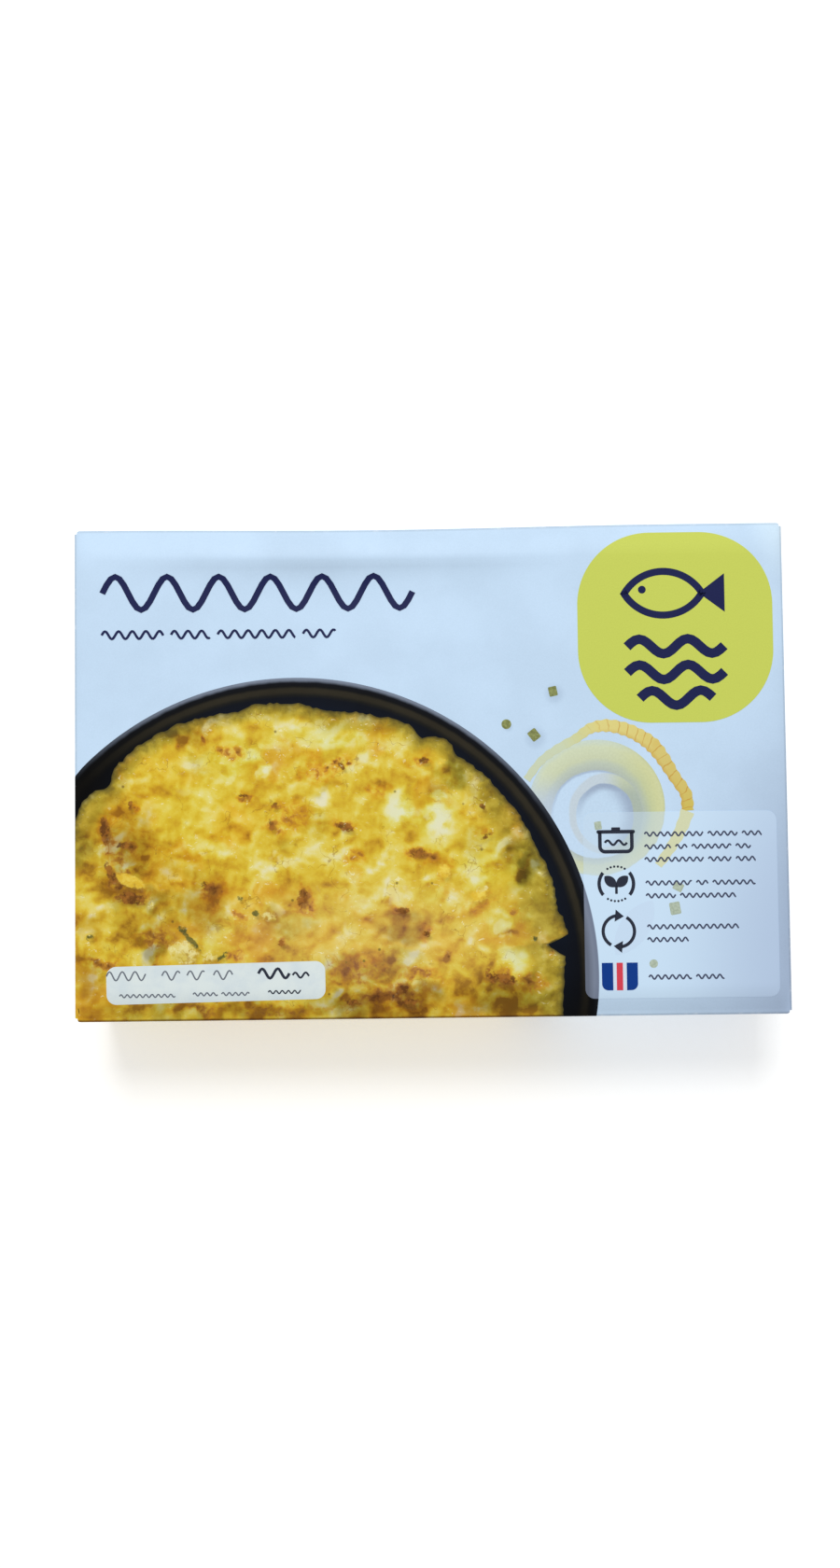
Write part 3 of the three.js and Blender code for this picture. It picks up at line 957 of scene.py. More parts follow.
def gratin_print():
    """Golden gratin: lumpy, creamy where it is pale, toasted in patches, olive sauce at its edge."""
    material, tree, shader = finish("gratin_print", 0.42, SHEEN)
    place = blank_place(tree)
    height = curd_height(tree, place)
    upper = curd_height(tree, vector_calc(tree, "ADD", place, (-0.8, 1.6, 0)))
    emboss = calc(tree, "SUBTRACT", height, upper)
    cream = attribute(tree, "cream")
    toast = attribute(tree, "toast")
    olive = attribute(tree, "olive")
    margin = attribute(tree, "margin")

    dim = attribute(tree, "dim")
    rough = between(tree, grain(tree, place, 0.055, 2.0), 0.4, 0.6, 0.55, 1.2)
    rough = calc(tree, "MULTIPLY", rough, between(tree, dim, 0.0, 0.9, 0.7, 1.5))
    relief = between(tree, dim, 0.0, 0.9, 0.86, 1.45)

    folds = grain(tree, warped(tree, place, 0.16, 9.0), 0.1, 4.0, 0.5)
    crumb = grain(tree, warped(tree, place, 0.5, 2.5), 0.5, 3.0, 0.55)
    lumps = shade(
        tree, "ShaderNodeTexVoronoi",
        {"Vector": warped(tree, place, 0.3, 6.0), "Scale": 0.15, "Smoothness": 0.25},
        feature="SMOOTH_F1",
    )
    lump = shade(tree, "ShaderNodeSeparateColor", {"Color": lumps.outputs["Color"]}).outputs["Red"]
    drawn_out = vector_calc(tree, "MULTIPLY", warped(tree, place, 0.12, 26.0), (0.22, 1.0, 1))
    strands = calc(tree, "ABSOLUTE", calc(tree, "SUBTRACT", grain(tree, drawn_out, 1.1, 2.0), 0.5))
    strands = between(tree, strands, 0.0, 0.07, 1.0, 0.0)

    tone = calc(tree, "MULTIPLY_ADD", calc(tree, "MULTIPLY_ADD", folds, 1.72, -0.86), relief, 0.34)
    tone = calc(tree, "MULTIPLY_ADD", height, 0.28, tone)
    tone = calc(tree, "MULTIPLY_ADD", calc(tree, "MULTIPLY", emboss, 1.3), relief, tone)
    fine = calc(tree, "MULTIPLY_ADD", crumb, 0.20, calc(tree, "MULTIPLY_ADD", lump, 0.20, -0.20))
    tone = calc(tree, "MULTIPLY_ADD", fine, rough, tone)
    tone = calc(tree, "MULTIPLY_ADD", cream, 0.46, tone)
    tone = calc(tree, "MULTIPLY_ADD", strands, 0.05, tone)
    tone = calc(tree, "MULTIPLY_ADD", dim, -0.16, tone)
    colour = ramp(tree, tone, (
        (0.0, srgb(166, 118, 28)), (0.20, srgb(206, 160, 38)), (0.42, srgb(223, 190, 52)),
        (0.60, srgb(231, 207, 80)), (0.80, srgb(235, 220, 124)), (1.0, srgb(237, 229, 176)),
    ))
    chunk_place = warped(tree, place, 0.25, 5.0)
    chunks = shade(
        tree, "ShaderNodeTexVoronoi", {"Vector": chunk_place, "Scale": 0.17}, feature="F1")
    edges = shade(
        tree, "ShaderNodeTexVoronoi", {"Vector": chunk_place, "Scale": 0.17},
        feature="DISTANCE_TO_EDGE",
    ).outputs["Distance"]
    drawn = shade(tree, "ShaderNodeSeparateColor", {"Color": chunks.outputs["Color"]}).outputs["Red"]
    pale = calc(tree, "MULTIPLY_ADD", cream, 0.75, calc(tree, "MULTIPLY", drawn, 0.42))
    pale = calc(tree, "MULTIPLY", between(tree, pale, 0.55, 0.72, 0.0, 0.5), between(
        tree, edges, 0.0, 0.16))
    pale = calc(tree, "MULTIPLY", pale, between(tree, dim, 0.1, 0.55, 1.0, 0.15))
    colour = blend_colour(tree, pale, colour, srgb(239, 229, 166))
    white = calc(tree, "MULTIPLY", between(tree, cream, 0.55, 0.95), between(tree, tone, 0.75, 1.05, 0.0, 0.8))
    colour = blend_colour(tree, white, colour, srgb(237, 233, 200))
    sauce = ramp(tree, tone, (
        (0.0, srgb(112, 92, 24)), (0.35, srgb(164, 142, 40)), (0.62, srgb(194, 172, 60)),
        (1.0, srgb(220, 208, 136)),
    ))
    spread = calc(tree, "MULTIPLY_ADD", folds, 0.9, olive)
    colour = blend_colour(tree, between(tree, spread, 0.56, 1.1, 0.0, 0.9), colour, sauce)

    ragged = grain(tree, warped(tree, place, 0.4, 3.0), 0.5, 3.0, 0.5)
    half_toasted = calc(tree, "MULTIPLY", toast, calc(tree, "SUBTRACT", 1.25, toast))
    uneven = calc(tree, "MULTIPLY", calc(tree, "SUBTRACT", ragged, 0.5), calc(
        tree, "MULTIPLY_ADD", half_toasted, 4.0, 0.12))
    warmth = between(tree, grain(tree, warped(tree, place, 0.08, 14.0), 0.05, 3.0), 0.46, 0.7, 0.0, 0.42)
    warmth = calc(tree, "MULTIPLY", warmth, between(tree, cream, 0.1, 0.7, 1.0, 0.2))
    browned = calc(tree, "ADD", calc(tree, "MAXIMUM", toast, warmth), uneven)
    browned = calc(tree, "MULTIPLY_ADD", dim, calc(tree, "MULTIPLY_ADD", folds, -0.9, 0.55), browned)
    scorched = calc(tree, "MULTIPLY", between(tree, browned, 0.02, 0.42, 0.0, 0.85), between(
        tree, tone, 0.6, 1.0, 1.0, 0.3))
    colour = blend_colour(tree, scorched, colour, (0.98, 0.74, 0.30, 1.0), "MULTIPLY")
    toasted = ramp(tree, browned, (
        (0.0, srgb(214, 158, 46)), (0.42, srgb(206, 148, 48)), (0.60, srgb(186, 126, 44)),
        (0.82, srgb(150, 94, 36)), (1.0, srgb(98, 56, 22)),
    ))
    toasted = scaled(tree, toasted, between(tree, tone, 0.1, 0.8, 0.85, 1.12))
    colour = blend_colour(tree, between(tree, browned, 0.2, 0.62, 0.0, 0.92), colour, toasted)
    # Darker where dim is high: partly painted shade, partly the print's own darker parts
    colour = scaled(tree, colour, between(tree, dim, 0.0, 1.0, 0.955, 0.47))
    colour = blend_colour(tree, attribute(tree, "golden"), colour, (1.05, 0.91, 0.80, 1.0), "MULTIPLY")
    colour = blend_colour(tree, attribute(tree, "lemon"), colour, (0.95, 1.03, 0.98, 1.0), "MULTIPLY")
    hazy = between(tree, distance_to(tree, place, (-18, -50), (62, 19)), 0.3, 1.15, 1.0, 0.0)
    colour = blend_colour(tree, hazy, colour, (0.0, 0.0, 0.034, 1.0), "ADD")
    rich = between(tree, distance_to(tree, place, (-80, -13), (36, 26)), 0.3, 1.15, 1.0, 0.0)
    colour = blend_colour(tree, rich, colour, (1.0, 1.0, 0.80, 1.0), "MULTIPLY")

    colour = lay_bits(tree, place, colour)

    glinting = vector_calc(tree, "MULTIPLY", warped(tree, place, 0.3, 4.0), (0.42, 1.0, 1.0))
    sparkle = grain(tree, glinting, 1.2, 2.0, 0.5)
    gathered = between(tree, grain(tree, place, 0.1, 2.0), 0.42, 0.6, 0.15, 1.0)
    wet = calc(tree, "MULTIPLY", between(tree, sparkle, 0.64, 0.71), gathered)
    wet = calc(tree, "MULTIPLY", wet, between(tree, tone, 0.2, 0.7, 0.2, 0.75))
    wet = calc(tree, "MULTIPLY", wet, between(tree, dim, 0.1, 0.55, 1.0, 0.1))
    colour = blend_colour(tree, wet, colour, srgb(243, 236, 186))
    crease = calc(tree, "ABSOLUTE", calc(tree, "SUBTRACT", grain(
        tree, warped(tree, place, 0.2, 6.0), 0.14, 2.0), 0.47))
    crease = calc(tree, "MULTIPLY", between(tree, crease, 0.0, 0.012, 1.0, 0.0), between(
        tree, grain(tree, place, 0.09, 2.0), 0.48, 0.62, 0.0, 0.55))
    colour = blend_colour(tree, crease, colour, srgb(150, 104, 32))

    cells = shade(tree, "ShaderNodeTexVoronoi", {"Vector": place, "Scale": 0.19}, feature="F1")
    picked = shade(tree, "ShaderNodeSeparateColor", {"Color": cells.outputs["Color"]})
    chosen = calc(tree, "GREATER_THAN", picked.outputs["Red"], 0.84)
    near = between(tree, cells.outputs["Distance"], 0.04, 0.12, 0.7, 0.0)
    herb = blend_colour(tree, picked.outputs["Green"], srgb(110, 66, 22), srgb(92, 96, 44))
    colour = blend_colour(tree, calc(tree, "MULTIPLY", near, chosen), colour, herb)

    soaked = calc(tree, "MULTIPLY_ADD", calc(tree, "SUBTRACT", crumb, 0.5), 4.0, margin)
    colour = blend_colour(tree, between(tree, soaked, 0.2, 3.4, 0.72, 0.0), colour, srgb(104, 92, 36))
    colour = blend_colour(tree, between(tree, margin, 0.0, 1.0, 0.7, 0.0), colour, srgb(58, 54, 28))
    # Painted shade along the front fold, where the print turns away from the light
    fold_shade_share = calc(tree, "MULTIPLY", fold_share(tree, place, "Y", FLAT_V), 0.9)
    colour = blend_colour(tree, fold_shade_share, colour, (0.34, 0.26, 0.20, 1.0), "MULTIPLY")
    tree.links.new(colour, shader.inputs["Base Color"])
    varnish_skin(tree, shader, place)
    return material


def onion_colour(tree, place):
    """A pale onion ring with a smaller one inside it, and where they lie, from 0 to 1."""
    wobble = calc(tree, "MULTIPLY_ADD", grain(tree, place, 0.18, 3.0), 0.08, -0.04)
    outer, hollow, core, core_hollow = (
        calc(tree, "ADD", distance_to(tree, place, centre, reach), wobble)
        for centre, reach in (
            (RING_CENTRE, RING_REACH), (RING_HOLLOW_CENTRE, RING_HOLLOW_REACH),
            (CORE_CENTRE, CORE_REACH), (CORE_HOLLOW_CENTRE, CORE_HOLLOW_REACH),
        )
    )
    parts = shade(tree, "ShaderNodeSeparateXYZ", {"Vector": place})
    rightness = between(tree, parts.outputs["X"], 52.0, 68.0)
    upness = between(tree, parts.outputs["Y"], -20.0, -2.0)
    speckle = between(tree, grain(tree, place, 1.4, 3.0, 0.6), 0.3, 0.7, 0.97, 1.03)

    from_hollow = calc(tree, "SUBTRACT", hollow, 1.0)
    from_edge = calc(tree, "SUBTRACT", 1.0, outer)
    across = calc(tree, "DIVIDE", from_hollow, calc(
        tree, "MAXIMUM", calc(tree, "ADD", from_hollow, from_edge), 0.05))
    left_flesh = ramp(tree, across, (
        (0.0, srgb(180, 191, 184)), (0.12, srgb(184, 195, 184)), (0.34, srgb(192, 203, 186)),
        (0.52, srgb(205, 213, 180)), (0.85, srgb(211, 220, 188)), (1.0, srgb(205, 219, 206)),
    ))
    right_flesh = ramp(tree, across, (
        (0.0, srgb(180, 192, 180)), (0.25, srgb(186, 197, 170)), (0.5, srgb(200, 207, 160)),
        (0.8, srgb(209, 213, 160)), (0.94, srgb(211, 215, 165)), (1.0, srgb(201, 206, 158)),
    ))
    flesh = blend_colour(tree, rightness, left_flesh, right_flesh)
    far_left = calc(tree, "MULTIPLY", between(tree, parts.outputs["X"], 47.0, 36.0), between(
        tree, parts.outputs["Y"], 0.0, -12.0, 0.0, 0.85))
    flesh = blend_colour(tree, far_left, flesh, srgb(190, 207, 226))
    core_right = between(tree, parts.outputs["X"], 52.0, 60.0)
    core_green = blend_colour(tree, between(
        tree, parts.outputs["Y"], -9.0, -2.0), srgb(174, 187, 174), srgb(200, 209, 178))
    core_flesh = blend_colour(tree, core_right, srgb(199, 213, 223), core_green)
    shadow = srgb(150, 166, 190)

    ring_shade = calc(tree, "MULTIPLY", between(tree, hollow, 0.93, 0.985), calc(
        tree, "MULTIPLY_ADD", upness, 0.6, 0.0))
    colour = blend_colour(tree, ring_shade, PALE_BLUE, shadow)
    colour = blend_colour(tree, between(tree, core, 1.03, 0.97), colour, core_flesh)
    core_shade = calc(tree, "MAXIMUM", calc(
        tree, "MULTIPLY", between(tree, core_hollow, 0.68, 0.92), calc(
            tree, "MULTIPLY_ADD", upness, 1.1, -0.15)), calc(
                tree, "MULTIPLY", between(tree, core_hollow, 0.35, 1.0), calc(
                    tree, "MULTIPLY", core_right, 0.8)))
    core_well = blend_colour(tree, core_shade, srgb(197, 221, 243), shadow)
    colour = blend_colour(tree, between(tree, core_hollow, 1.03, 0.97), colour, core_well)
    colour = blend_colour(tree, between(tree, hollow, 0.985, 1.02), colour, flesh)
    return scaled(tree, colour, speckle), between(tree, outer, 1.01, 0.99)


def onion_print():
    material, tree, shader = finish("onion_print", 0.45, SHEEN)
    place = blank_place(tree)
    colour, _ = onion_colour(tree, place)
    tree.links.new(colour, shader.inputs["Base Color"])
    varnish_skin(tree, shader, place)
    return material


def peel_print():
    """An orange-yellow strip of skin with brown ribs across it."""
    material, tree, shader = finish("peel_print", 0.45, SHEEN)
    place = blank_place(tree)
    along = attribute(tree, "along")
    across = attribute(tree, "across")
    flesh = ramp(tree, along, (
        (0.0, srgb(204, 214, 186)), (0.22, srgb(206, 216, 184)), (0.30, srgb(211, 214, 158)),
        (0.40, srgb(225, 214, 136)), (0.58, srgb(225, 210, 128)), (0.75, srgb(216, 198, 116)),
        (0.9, srgb(214, 194, 108)), (1.0, srgb(210, 190, 90)),
    ))
    wobble = calc(tree, "MULTIPLY_ADD", grain(tree, place, 0.12, 3.0), 1.6, calc(
        tree, "MULTIPLY", across, 0.16))
    rib = calc(tree, "FRACT", calc(tree, "MULTIPLY_ADD", along, PEEL_RIDGES, wobble))
    rib = calc(tree, "ABSOLUTE", calc(tree, "SUBTRACT", rib, 0.5))
    rib_line = between(tree, rib, 0.01, 0.085, 1.0, 0.0)
    strong = between(tree, along, 0.25, 0.62, 0.05, 0.85)
    side = between(tree, across, -0.3, -1.0, 0.0, 0.5)
    share = calc(tree, "MULTIPLY", calc(tree, "MAXIMUM", rib_line, side), strong)
    colour = blend_colour(tree, share, flesh, srgb(200, 152, 66))
    glow = between(tree, grain(tree, place, 0.18, 2.0), 0.5, 0.75, 0.0, 0.4)
    colour = blend_colour(tree, calc(tree, "MULTIPLY", glow, strong), colour, srgb(216, 182, 82))
    tree.links.new(colour, shader.inputs["Base Color"])
    varnish_skin(tree, shader, place)
    return material


def info_panel_print():
    """A pale see-through panel printed over the picture: the dish and the rings show through, with painted shade
    darker to the lower right.
    """
    material, tree, shader = finish("info_panel", 0.42, SHEEN)
    place = blank_place(tree)
    # Painted shade, darker to the lower right, as on the board round it
    painted_shade = between(tree, distance_to(tree, place, (125, -60), (48, 75)), 0.35, 1.25, 1.0, 0.0)
    ground = blend_colour(tree, painted_shade, srgb(206, 230, 251), srgb(184, 204, 230))
    onion, onion_share = onion_colour(tree, place)
    veiled = blend_colour(tree, 0.45, onion, srgb(202, 224, 243))
    colour = blend_colour(tree, onion_share, ground, veiled)
    dish_away = distance_to(tree, place, DISH_CENTRE, (DISH_RADIUS, DISH_RADIUS))
    dark = ramp(tree, dish_away, (
        (0.0, srgb(94, 102, 118)), (0.965, srgb(101, 109, 126)), (0.985, srgb(124, 134, 154)),
        (1.0, srgb(114, 124, 146)),
    ))
    in_dish = between(tree, dish_away, 0.998, 1.002, 1.0, 0.0)
    colour = blend_colour(tree, in_dish, colour, dark)
    tree.links.new(colour, shader.inputs["Base Color"])
    varnish_skin(tree, shader, place)
    return material


def stripe_print():
    """Five upright stripes: blue, white, red, white, blue."""
    material, tree, shader = finish("stripes", 0.42, SHEEN)
    place = blank_place(tree)
    parts = shade(tree, "ShaderNodeSeparateXYZ", {"Vector": place})
    across = shade(
        tree, "ShaderNodeMapRange",
        {"Value": parts.outputs["X"], "From Min": TAB_LEFT, "From Max": TAB_RIGHT},
    ).outputs["Result"]
    colour = ramp(tree, across, (
        (0.0, FLAG_BLUE), (0.31, FLAG_WHITE), (0.41, FLAG_RED), (0.585, FLAG_WHITE), (0.69, FLAG_BLUE),
    ), "CONSTANT")
    speckle = between(tree, grain(tree, place, 2.2, 3.0, 0.65), 0.25, 0.75, 0.95, 1.05)
    tree.links.new(scaled(tree, colour, speckle), shader.inputs["Base Color"])
    varnish_skin(tree, shader, place)
    return material


def label_print():
    """A plain off-white label, a little grey where its varnish is thin."""
    material, tree, shader = finish("label_print", 0.5, SHEEN)
    place = blank_place(tree)
    cloud = between(tree, grain(tree, place, 0.16, 4.0, 0.6), 0.35, 0.7)
    colour = blend_colour(tree, cloud, LABEL_WHITE, srgb(214, 226, 230))
    tree.links.new(colour, shader.inputs["Base Color"])
    varnish_skin(tree, shader, place)
    return material


def cube_print(name, light, dark):
    """Diced green stem: a cut face mottled from one green to another."""
    material, tree, shader = finish(name, 0.45, SHEEN)
    place = blank_place(tree)
    fleck = between(tree, grain(tree, place, 1.1, 3.0, 0.6), 0.35, 0.65)
    colour = blend_colour(tree, fleck, light, dark)
    tree.links.new(colour, shader.inputs["Base Color"])
    varnish_skin(tree, shader, place)
    return material


# The printed artwork


def word_line(art, u, v, words, rise, pitch, stroke, gap):
    """A row of small squiggles where a line of text goes."""
    for length in words:
        wave(art, u, v, length, rise, pitch, stroke)
        u += length + gap


def wave(art, u, v, length, rise, pitch, stroke):
    """A sinuous line that starts at u and swings about v."""
    def route(along):
        return (u + length * along, v + rise * math.sin(math.tau * length * along / pitch))
    ribbon(art, route, stroke, math.ceil(length / pitch * 12))


def bit_share(bits, u, v):
    """The strongest of the turned oval bits at a point."""
    share = 0.0
    for bit_u, bit_v, half_width, half_height, turn, strength in bits:
        across, up = u - bit_u, v - bit_v
        if max(abs(across), abs(up)) < 10:
            cosine, sine = math.cos(math.radians(turn)), math.sin(math.radians(turn))
            away = math.hypot(
                (across * cosine + up * sine) / half_width, (up * cosine - across * sine) / half_height)
            share = max(share, strength * hump(away, 0, 1.7))
    return share


def print_dish():
    art = bmesh.new()
    disc(art, *DISH_CENTRE, DISH_RADIUS, 240)
    return print_on_board("dish_print", art, DISH_LIFT, dish_glaze())


def print_gratin():
    art = bmesh.new()
    steps = 480
    disc(art, 0, 0, 1.0, steps)
    for vert in art.verts:
        angle = (math.degrees(math.atan2(vert.co.y, vert.co.x)) + 90) % 360 - 90
        vert.co = Vector((*GRATIN_CENTRE, 0)) + vert.co * gratin_radius(angle)
    return print_on_board("gratin_print", art, GRATIN_LIFT, gratin_print(), cell=0.8, values={
        "margin": gratin_margin,
        "olive": gratin_olive,
        "toast": lambda u, v: patch_share(TOASTED, u, v, 2.2),
        "cream": lambda u, v: patch_share(CREAMY, u, v, 3.0),
        "dim": lambda u, v: patch_share(DIMMED, u, v, 5.0),
        "golden": lambda u, v: patch_share(GOLDEN, u, v, 5.0),
        "lemon": lambda u, v: patch_share(LEMON, u, v, 5.0),
        "brown_bits": lambda u, v: bit_share(BROWN_BITS, u, v),
        "green_bits": lambda u, v: bit_share(GREEN_BITS, u, v),
        "cream_bits": lambda u, v: bit_share(CREAM_BITS, u, v),
        "gold_bits": lambda u, v: bit_share(GOLD_BITS, u, v),
        "bit_shadow": lambda u, v: bit_share(
            BROWN_BITS + GREEN_BITS + CREAM_BITS + GOLD_BITS, u - 0.7, v + 1.2),
    })


def print_onion():
    art = bmesh.new()
    disc(art, 0, 0, 1.0, 128)
    bmesh.ops.scale(art, verts=art.verts[:], vec=(*RING_REACH, 1))
    bmesh.ops.translate(art, verts=art.verts[:], vec=(*RING_CENTRE, 0))
    return print_on_board("onion_rings", art, ONION_LIFT, onion_print())


def peel_values(stops):
    """Rules that give how far along the strip a point lies, and how far across it."""
    last = 240
    samples = [along_stops(stops, k / last) for k in range(last + 1)]
    reached = [0.0]
    for before, after in zip(samples, samples[1:]):
        reached.append(reached[-1] + (after - before).length)

    def nearest(u, v):
        return min(range(last + 1), key=lambda k: (samples[k].x - u) ** 2 + (samples[k].y - v) ** 2)

    def along(u, v):
        return reached[nearest(u, v)] / reached[-1]

    def across(u, v):
        k = nearest(u, v)
        before, after = samples[max(k - 1, 0)], samples[min(k + 1, last)]
        heading = (after - before).normalized()
        aside = Vector((u, v)) - samples[k]
        wide = value_along(PEEL_WIDTHS, k / last) / 2
        return (heading.x * aside.y - heading.y * aside.x) / wide

    return {"along": along, "across": across}


def print_peel():
    art = bmesh.new()
    ribbon(art, lambda t: along_stops(PEEL_STOPS, t), lambda t: (
        value_along(PEEL_WIDTHS, t) * (1 + 0.08 * math.cos(math.tau * PEEL_RIDGES * t))), 200)
    print_on_board("peel_strip", art, PEEL_LIFT, peel_print(),
                   values=peel_values(PEEL_STOPS))
    art = bmesh.new()
    ribbon(art, lambda t: along_stops(VEILED_PEEL_STOPS, t), lambda t: (
        4.2 - 1.6 * t + 0.25 * math.sin(math.tau * 5 * t)), 40)
    veiled = plain_ink("veiled_peel", srgb(215, 219, 180), 0.03)
    print_on_board("peel_under_panel", art, VEILED_LIFT, veiled)


def print_cubes():
    green = cube_print("cube_print", srgb(150, 157, 98), srgb(118, 124, 74))
    veiled = cube_print("veiled_cube", srgb(186, 199, 180), srgb(166, 180, 160))
    for name, cubes, spot, lift, material in (
        ("green_cubes", GREEN_CUBES, GREEN_ROUND, PEEL_LIFT, green),
        ("cubes_under_panel", VEILED_CUBES, VEILED_ROUND, VEILED_LIFT, veiled),
    ):
        art = bmesh.new()
        for u, v, size, turn in cubes:
            rounded_panel(art, u, v, size * 0.86, size, size * 0.12, turn)
        disc(art, *spot, 24)
        print_on_board(name, art, lift, material)


def print_badge():
    art = bmesh.new()
    rounded_panel(art, *BADGE_CENTRE, *BADGE_SIZE, BADGE_ROUND)
    print_on_board("lime_field", art, GRATIN_LIFT, plain_ink("lime_ink", LIME, 0.03))
    art = bmesh.new()
    fish_u, fish_v, half_length, half_depth = 72.5, 54.0, 12.5, 7.2
    round_off = (half_length ** 2 + half_depth ** 2) / (2 * half_depth)
    spread = math.degrees(math.asin(half_length / round_off))
    for side in (1, -1):
        arc_band(
            art, fish_u, fish_v - side * (round_off - half_depth), round_off - 1.5, round_off + 0.7,
            90 * side - spread * 1.03, 2 * spread * 1.03, 28,
        )
    pointed_head(art, (fish_u + half_length - 1.5, fish_v), 8.0, 12.0, 180)
    disc(art, fish_u - half_length + 6.0, fish_v + 1.2, 1.2, 24)
    for v, length in ((37.5, 30.0), (29.5, 30.0), (21.5, 22.5)):
        wave(art, BADGE_CENTRE[0] - length / 2, v, length, 2.3, 15.0, 3.0)
    print_on_board("badge_motif", art, MARK_LIFT, navy_ink())


def print_title():
    art = bmesh.new()
    wave(art, -101.0, 56.0, 96.0, 5.2, 16.0, 1.9)
    word_line(art, -101.2, 43.0, (19, 12, 24, 10), 1.2, 4.2, 0.75, 2.4)
    print_on_board("title_waves", art, MARK_LIFT, navy_ink())


def print_panel():
    width, height = PANEL_RIGHT - PANEL_LEFT, PANEL_TOP - PANEL_FOOT
    middle = ((PANEL_LEFT + PANEL_RIGHT) / 2, (PANEL_TOP + PANEL_FOOT) / 2)
    art = bmesh.new()
    rounded_panel(art, *middle, width, height, 3.0)
    print_on_board("info_panel", art, PANEL_LIFT, info_panel_print())

    art = bmesh.new()
    print_pot_icon(art, 56.6, -22.6)
    print_leaf_icon(art, 56.5, -35.5)
    print_round_arrows(art, 57.0, -50.0)
    print_on_board("panel_icons", art, MARK_LIFT, plain_ink("icon_ink", ICON_INK))

    art = bmesh.new()
    lines = (
        (65.4, -20.4, (18, 9, 6)), (65.4, -24.3, (8, 3.5, 12, 4.5)), (65.4, -28.2, (18, 7, 6)),
        (65.6, -35.4, (14, 3.5, 13)), (65.6, -39.3, (9, 17)), (65.8, -48.8, (28,)),
        (65.8, -52.7, (12.5,)), (66.0, -64.1, (13, 8.5)),
    )
    for u, v, words in lines:
        word_line(art, u, v, words, 0.6, 2.2, 0.5, 1.5)
    print_on_board("panel_lines", art, MARK_LIFT, plain_ink("text_ink", TEXT_INK))

    art = bmesh.new()
    leaf(art, 61.8, -49.0, 20.0, 9.0, 55)
    slice_ink = plain_ink("veiled_onion", srgb(203, 225, 247), 0.01)
    print_on_board("onion_slice", art, VEILED_LIFT, slice_ink)

    art = bmesh.new()
    rounded_tab(art)
    print_on_board("striped_tab", art, MARK_LIFT, stripe_print())


TAB_LEFT, TAB_RIGHT, TAB_TOP, TAB_FOOT, TAB_ROUND = 51.6, 62.6, -59.6, -68.0, 2.0


def rounded_tab(art):
    """The striped tab, square above and rounded below."""
    made = bmesh.ops.create_grid(art, x_segments=1, y_segments=1, size=0.5)
    corners = made["verts"]
    bmesh.ops.scale(art, verts=corners, vec=(TAB_RIGHT - TAB_LEFT, TAB_TOP - TAB_FOOT, 1))
    lower = [v for v in corners if v.co.y < 0]
    bmesh.ops.translate(
        art, verts=corners, vec=((TAB_LEFT + TAB_RIGHT) / 2, (TAB_TOP + TAB_FOOT) / 2, 0))
    bmesh.ops.bevel(
        art, geom=lower, offset=TAB_ROUND, segments=6, profile=0.5, affect="VERTICES", material=-1)


def print_pot_icon(art, u, v):
    """A pot in outline, with its rim, the lid's knob and a wave of what simmers in it."""
    half, deep, line, turn = 5.9, 7.2, 1.1, 2.1
    top, foot = v + deep / 2, v - deep / 2
    bar(art, u - half, top - line / 2, 2 * half, line)
    rounded_panel(art, u, top + 0.35, 2.7, 0.9, 0.2)
    wall = half - 0.45
    for side in (-1, 1):
        rounded_panel(art, u + side * (wall - line / 2), (top + foot + turn) / 2 - line / 4,
                      line, top - foot - turn - line / 2, 0)
        start = 180 if side < 0 else 270
        arc_band(art, u + side * (wall - turn), foot + turn, turn - line, turn, start, 90, 8)
    rounded_panel(art, u, foot + line / 2, 2 * (wall - turn), line, 0)
    wave(art, u - 3.4, v - 0.3, 6.8, 0.7, 3.4, 0.7)


def leaf(art, u, v, length, width, heading):
    """A pointed leaf about its middle."""
    made = bmesh.ops.create_circle(art, cap_ends=True, segments=32, radius=1.0)
    verts = made["verts"]
    for vert in verts:
        vert.co.x *= length / 2
        vert.co.y *= width / 2 * abs(vert.co.y) ** 0.6
    bmesh.ops.rotate(art, verts=verts, matrix=Matrix.Rotation(math.radians(heading), 3, "Z"))
    bmesh.ops.translate(art, verts=verts, vec=(u, v, 0))


def print_leaf_icon(art, u, v):
    """Two leaves on a stem in a broken ring, with dots where the ring is open."""
    for start in (140, -40):
        arc_band(art, u, v, 4.75, 5.8, start, 80, 16)
    for angle in (*range(60, 121, 12), *range(240, 301, 12)):
        turn = math.radians(angle)
        disc(art, u + 5.3 * math.cos(turn), v + 5.3 * math.sin(turn), 0.36, 10)
    for side in (-1, 1):
        leaf(art, u + side * 1.8, v + 0.7, 4.8, 3.0, side * 42)
    rounded_panel(art, u, v - 1.9, 0.8, 2.4, 0.2)


def print_round_arrows(art, u, v):
    """Two arrows that follow each other round."""
    radius, line = 4.8, 1.0
    for start in (240, 60):
        arc_band(art, u, v, radius - line / 2, radius + line / 2, start, -140, 26)
        tip = math.radians(start - 170)
        pointed_head(
            art, (u + radius * math.cos(tip), v + radius * math.sin(tip)), 2.7, 3.7, start - 246)


def pointed_head(art, tip, length, width, heading):
    """A pointed head whose tip is given, heading in degrees."""
    turn = Matrix.Rotation(math.radians(heading), 3, "Z")
    corners = ((0, 0, 0), (-length, width / 2, 0), (-length, -width / 2, 0))
    art.faces.new([art.verts.new(Vector((*tip, 0)) + turn @ Vector(corner)) for corner in corners])


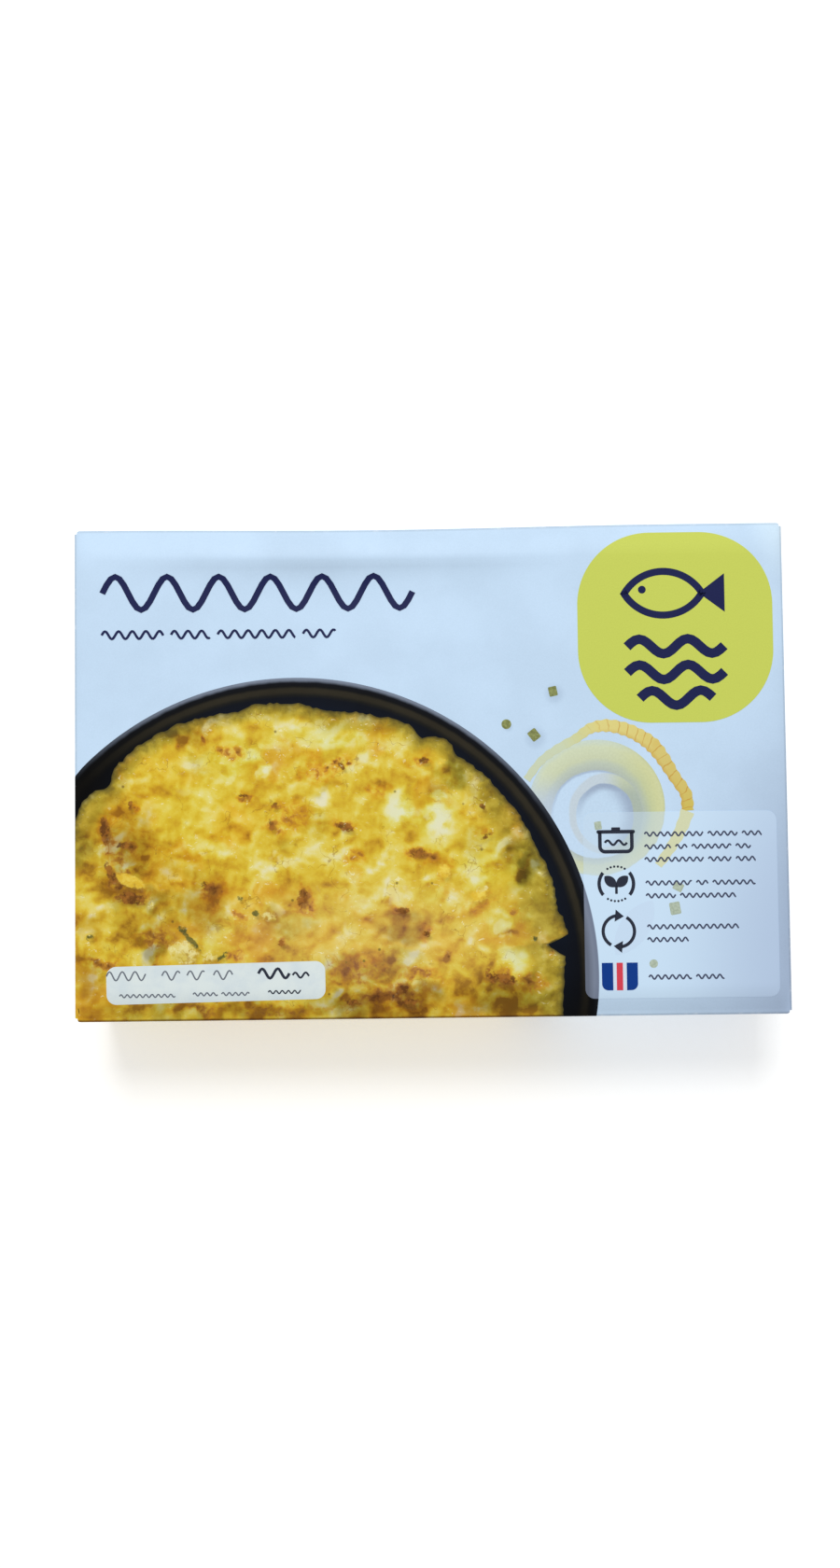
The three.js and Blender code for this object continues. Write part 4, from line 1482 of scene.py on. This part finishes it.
def print_label():
    art = bmesh.new()
    rounded_panel(art, *LABEL_MIDDLE, *LABEL_SIZE, 3.0, 1.0)
    print_on_board("date_label", art, PANEL_LIFT, label_print())
    art = bmesh.new()
    for u, length in ((-100.0, 12.0), (-83.0, 5.5), (-75.3, 5.3), (-67.2, 5.8)):
        wave(art, u, -61.9, length, 1.35, 3.9, 0.45)
    word_line(art, -96.0, -68.0, (17,), 0.45, 1.9, 0.4, 1.5)
    word_line(art, -73.5, -67.7, (7.5, 8.5), 0.45, 1.9, 0.4, 1.2)
    print_on_board("date_marks", art, MARK_LIFT, plain_ink("code_ink", CODE_INK, 0.12))
    art = bmesh.new()
    wave(art, -53.5, -61.6, 9.5, 1.45, 4.75, 0.85)
    wave(art, -43.0, -62.2, 5.0, 0.8, 3.2, 0.6)
    word_line(art, -50.5, -67.3, (10,), 0.45, 1.9, 0.4, 1.5)
    print_on_board("weight_marks", art, MARK_LIFT, plain_ink("weight_ink", ICON_INK))


def print_back():
    """A modest field of lines on the back panel."""
    art = bmesh.new()
    rounded_panel(art, 0, -2, 176, 104, 4)
    print_on_board("back_field", art, PANEL_LIFT, label_print(), back=True)
    art = bmesh.new()
    chance = random.Random(19)
    for column, rows in ((-80, 19), (6, 19)):
        for row in range(rows):
            if row % 6 == 5:
                continue
            v = 42 - row * 4.7
            heading = row % 6 == 0
            words = [chance.uniform(7, 17) for _ in range(2 if heading else 4)]
            word_line(art, column, v, words, *(0.75, 3.2, 0.6, 2.0) if heading else (0.5, 2.2, 0.38, 1.6))
    print_on_board("back_lines", art, MARK_LIFT, plain_ink("back_ink", NAVY), back=True)


def navy_ink():
    return bpy.data.materials.get("navy_ink") or plain_ink("navy_ink", NAVY, 0.08)


# Camera, floor and light

CAMERA_PLACE = (-3.35, -15.37, 340.0)
CAMERA_TILT, CAMERA_ROLL = 1.895, -0.688
CAMERA_LENS, CAMERA_SENSOR = 25.32, 36.0


def photo_camera():
    """Looks straight down on the front panel, leaning a little from its foot."""
    data = bpy.data.cameras.new("photo_camera")
    data.lens, data.sensor_width = CAMERA_LENS, CAMERA_SENSOR
    data.clip_start, data.clip_end = 0.01, 20.0
    camera = bpy.data.objects.new("photo_camera", data)
    bpy.context.scene.collection.objects.link(camera)
    lean = Matrix.Rotation(math.radians(CAMERA_TILT), 4, "X")
    roll = Matrix.Rotation(math.radians(CAMERA_ROLL), 4, "Z")
    across, up, above = CAMERA_PLACE
    camera.matrix_world = Matrix.Translation(Vector((across, up, FOLD_Z + above)) * MM) @ lean @ roll
    bpy.context.scene.camera = camera


def pale_floor():
    art = bmesh.new()
    bmesh.ops.create_grid(art, x_segments=1, y_segments=1, size=2.0)
    bmesh.ops.translate(art, verts=art.verts[:], vec=(0, 0, -0.0002))
    mesh = bpy.data.meshes.new("floor")
    art.to_mesh(mesh)
    art.free()
    floor = bpy.data.objects.new("floor", mesh)
    bpy.context.scene.collection.objects.link(floor)
    material, tree, shader = finish("pale_floor", 0.9, 0.1)
    place = shade(tree, "ShaderNodeTexCoord").outputs["Object"]
    cloud = between(tree, grain(tree, place, 3.0, 2.0), 0.3, 0.7)
    colour = blend_colour(tree, cloud, srgb(248, 248, 247), srgb(251, 251, 250))
    tree.links.new(colour, shader.inputs["Base Color"])
    shader.inputs["Emission Color"].default_value = (1.0, 1.0, 1.0, 1.0)
    shader.inputs["Emission Strength"].default_value = 0.26
    mesh.materials.append(material)


def soft_light(name, place, size, power, aim=(0, 0, 0.03)):
    data = bpy.data.lights.new(name, "AREA")
    data.shape, data.size, data.energy = "DISK", size, power
    lamp = bpy.data.objects.new(name, data)
    bpy.context.scene.collection.objects.link(lamp)
    lamp.location = place
    lamp.rotation_euler = (Vector(aim) - Vector(place)).to_track_quat("-Z", "Y").to_euler()


def studio():
    scene = bpy.context.scene
    scene.view_settings.view_transform = "Standard"
    scene.view_settings.look = "None"
    world = bpy.data.worlds.new("studio")
    scene.world = world
    world.use_nodes = True
    backdrop = world.node_tree.nodes["Background"]
    backdrop.inputs["Color"].default_value = (1.0, 1.0, 1.0, 1.0)
    backdrop.inputs["Strength"].default_value = 0.61
    soft_light("window", (-0.12, 1.06, 1.30), 0.7, 12.9)


folded_carton([coated_board(), raw_board()])
print_onion()
print_dish()
print_gratin()
print_peel()
print_badge()
print_title()
print_panel()
print_cubes()
print_label()
print_back()
pale_floor()
photo_camera()
studio()
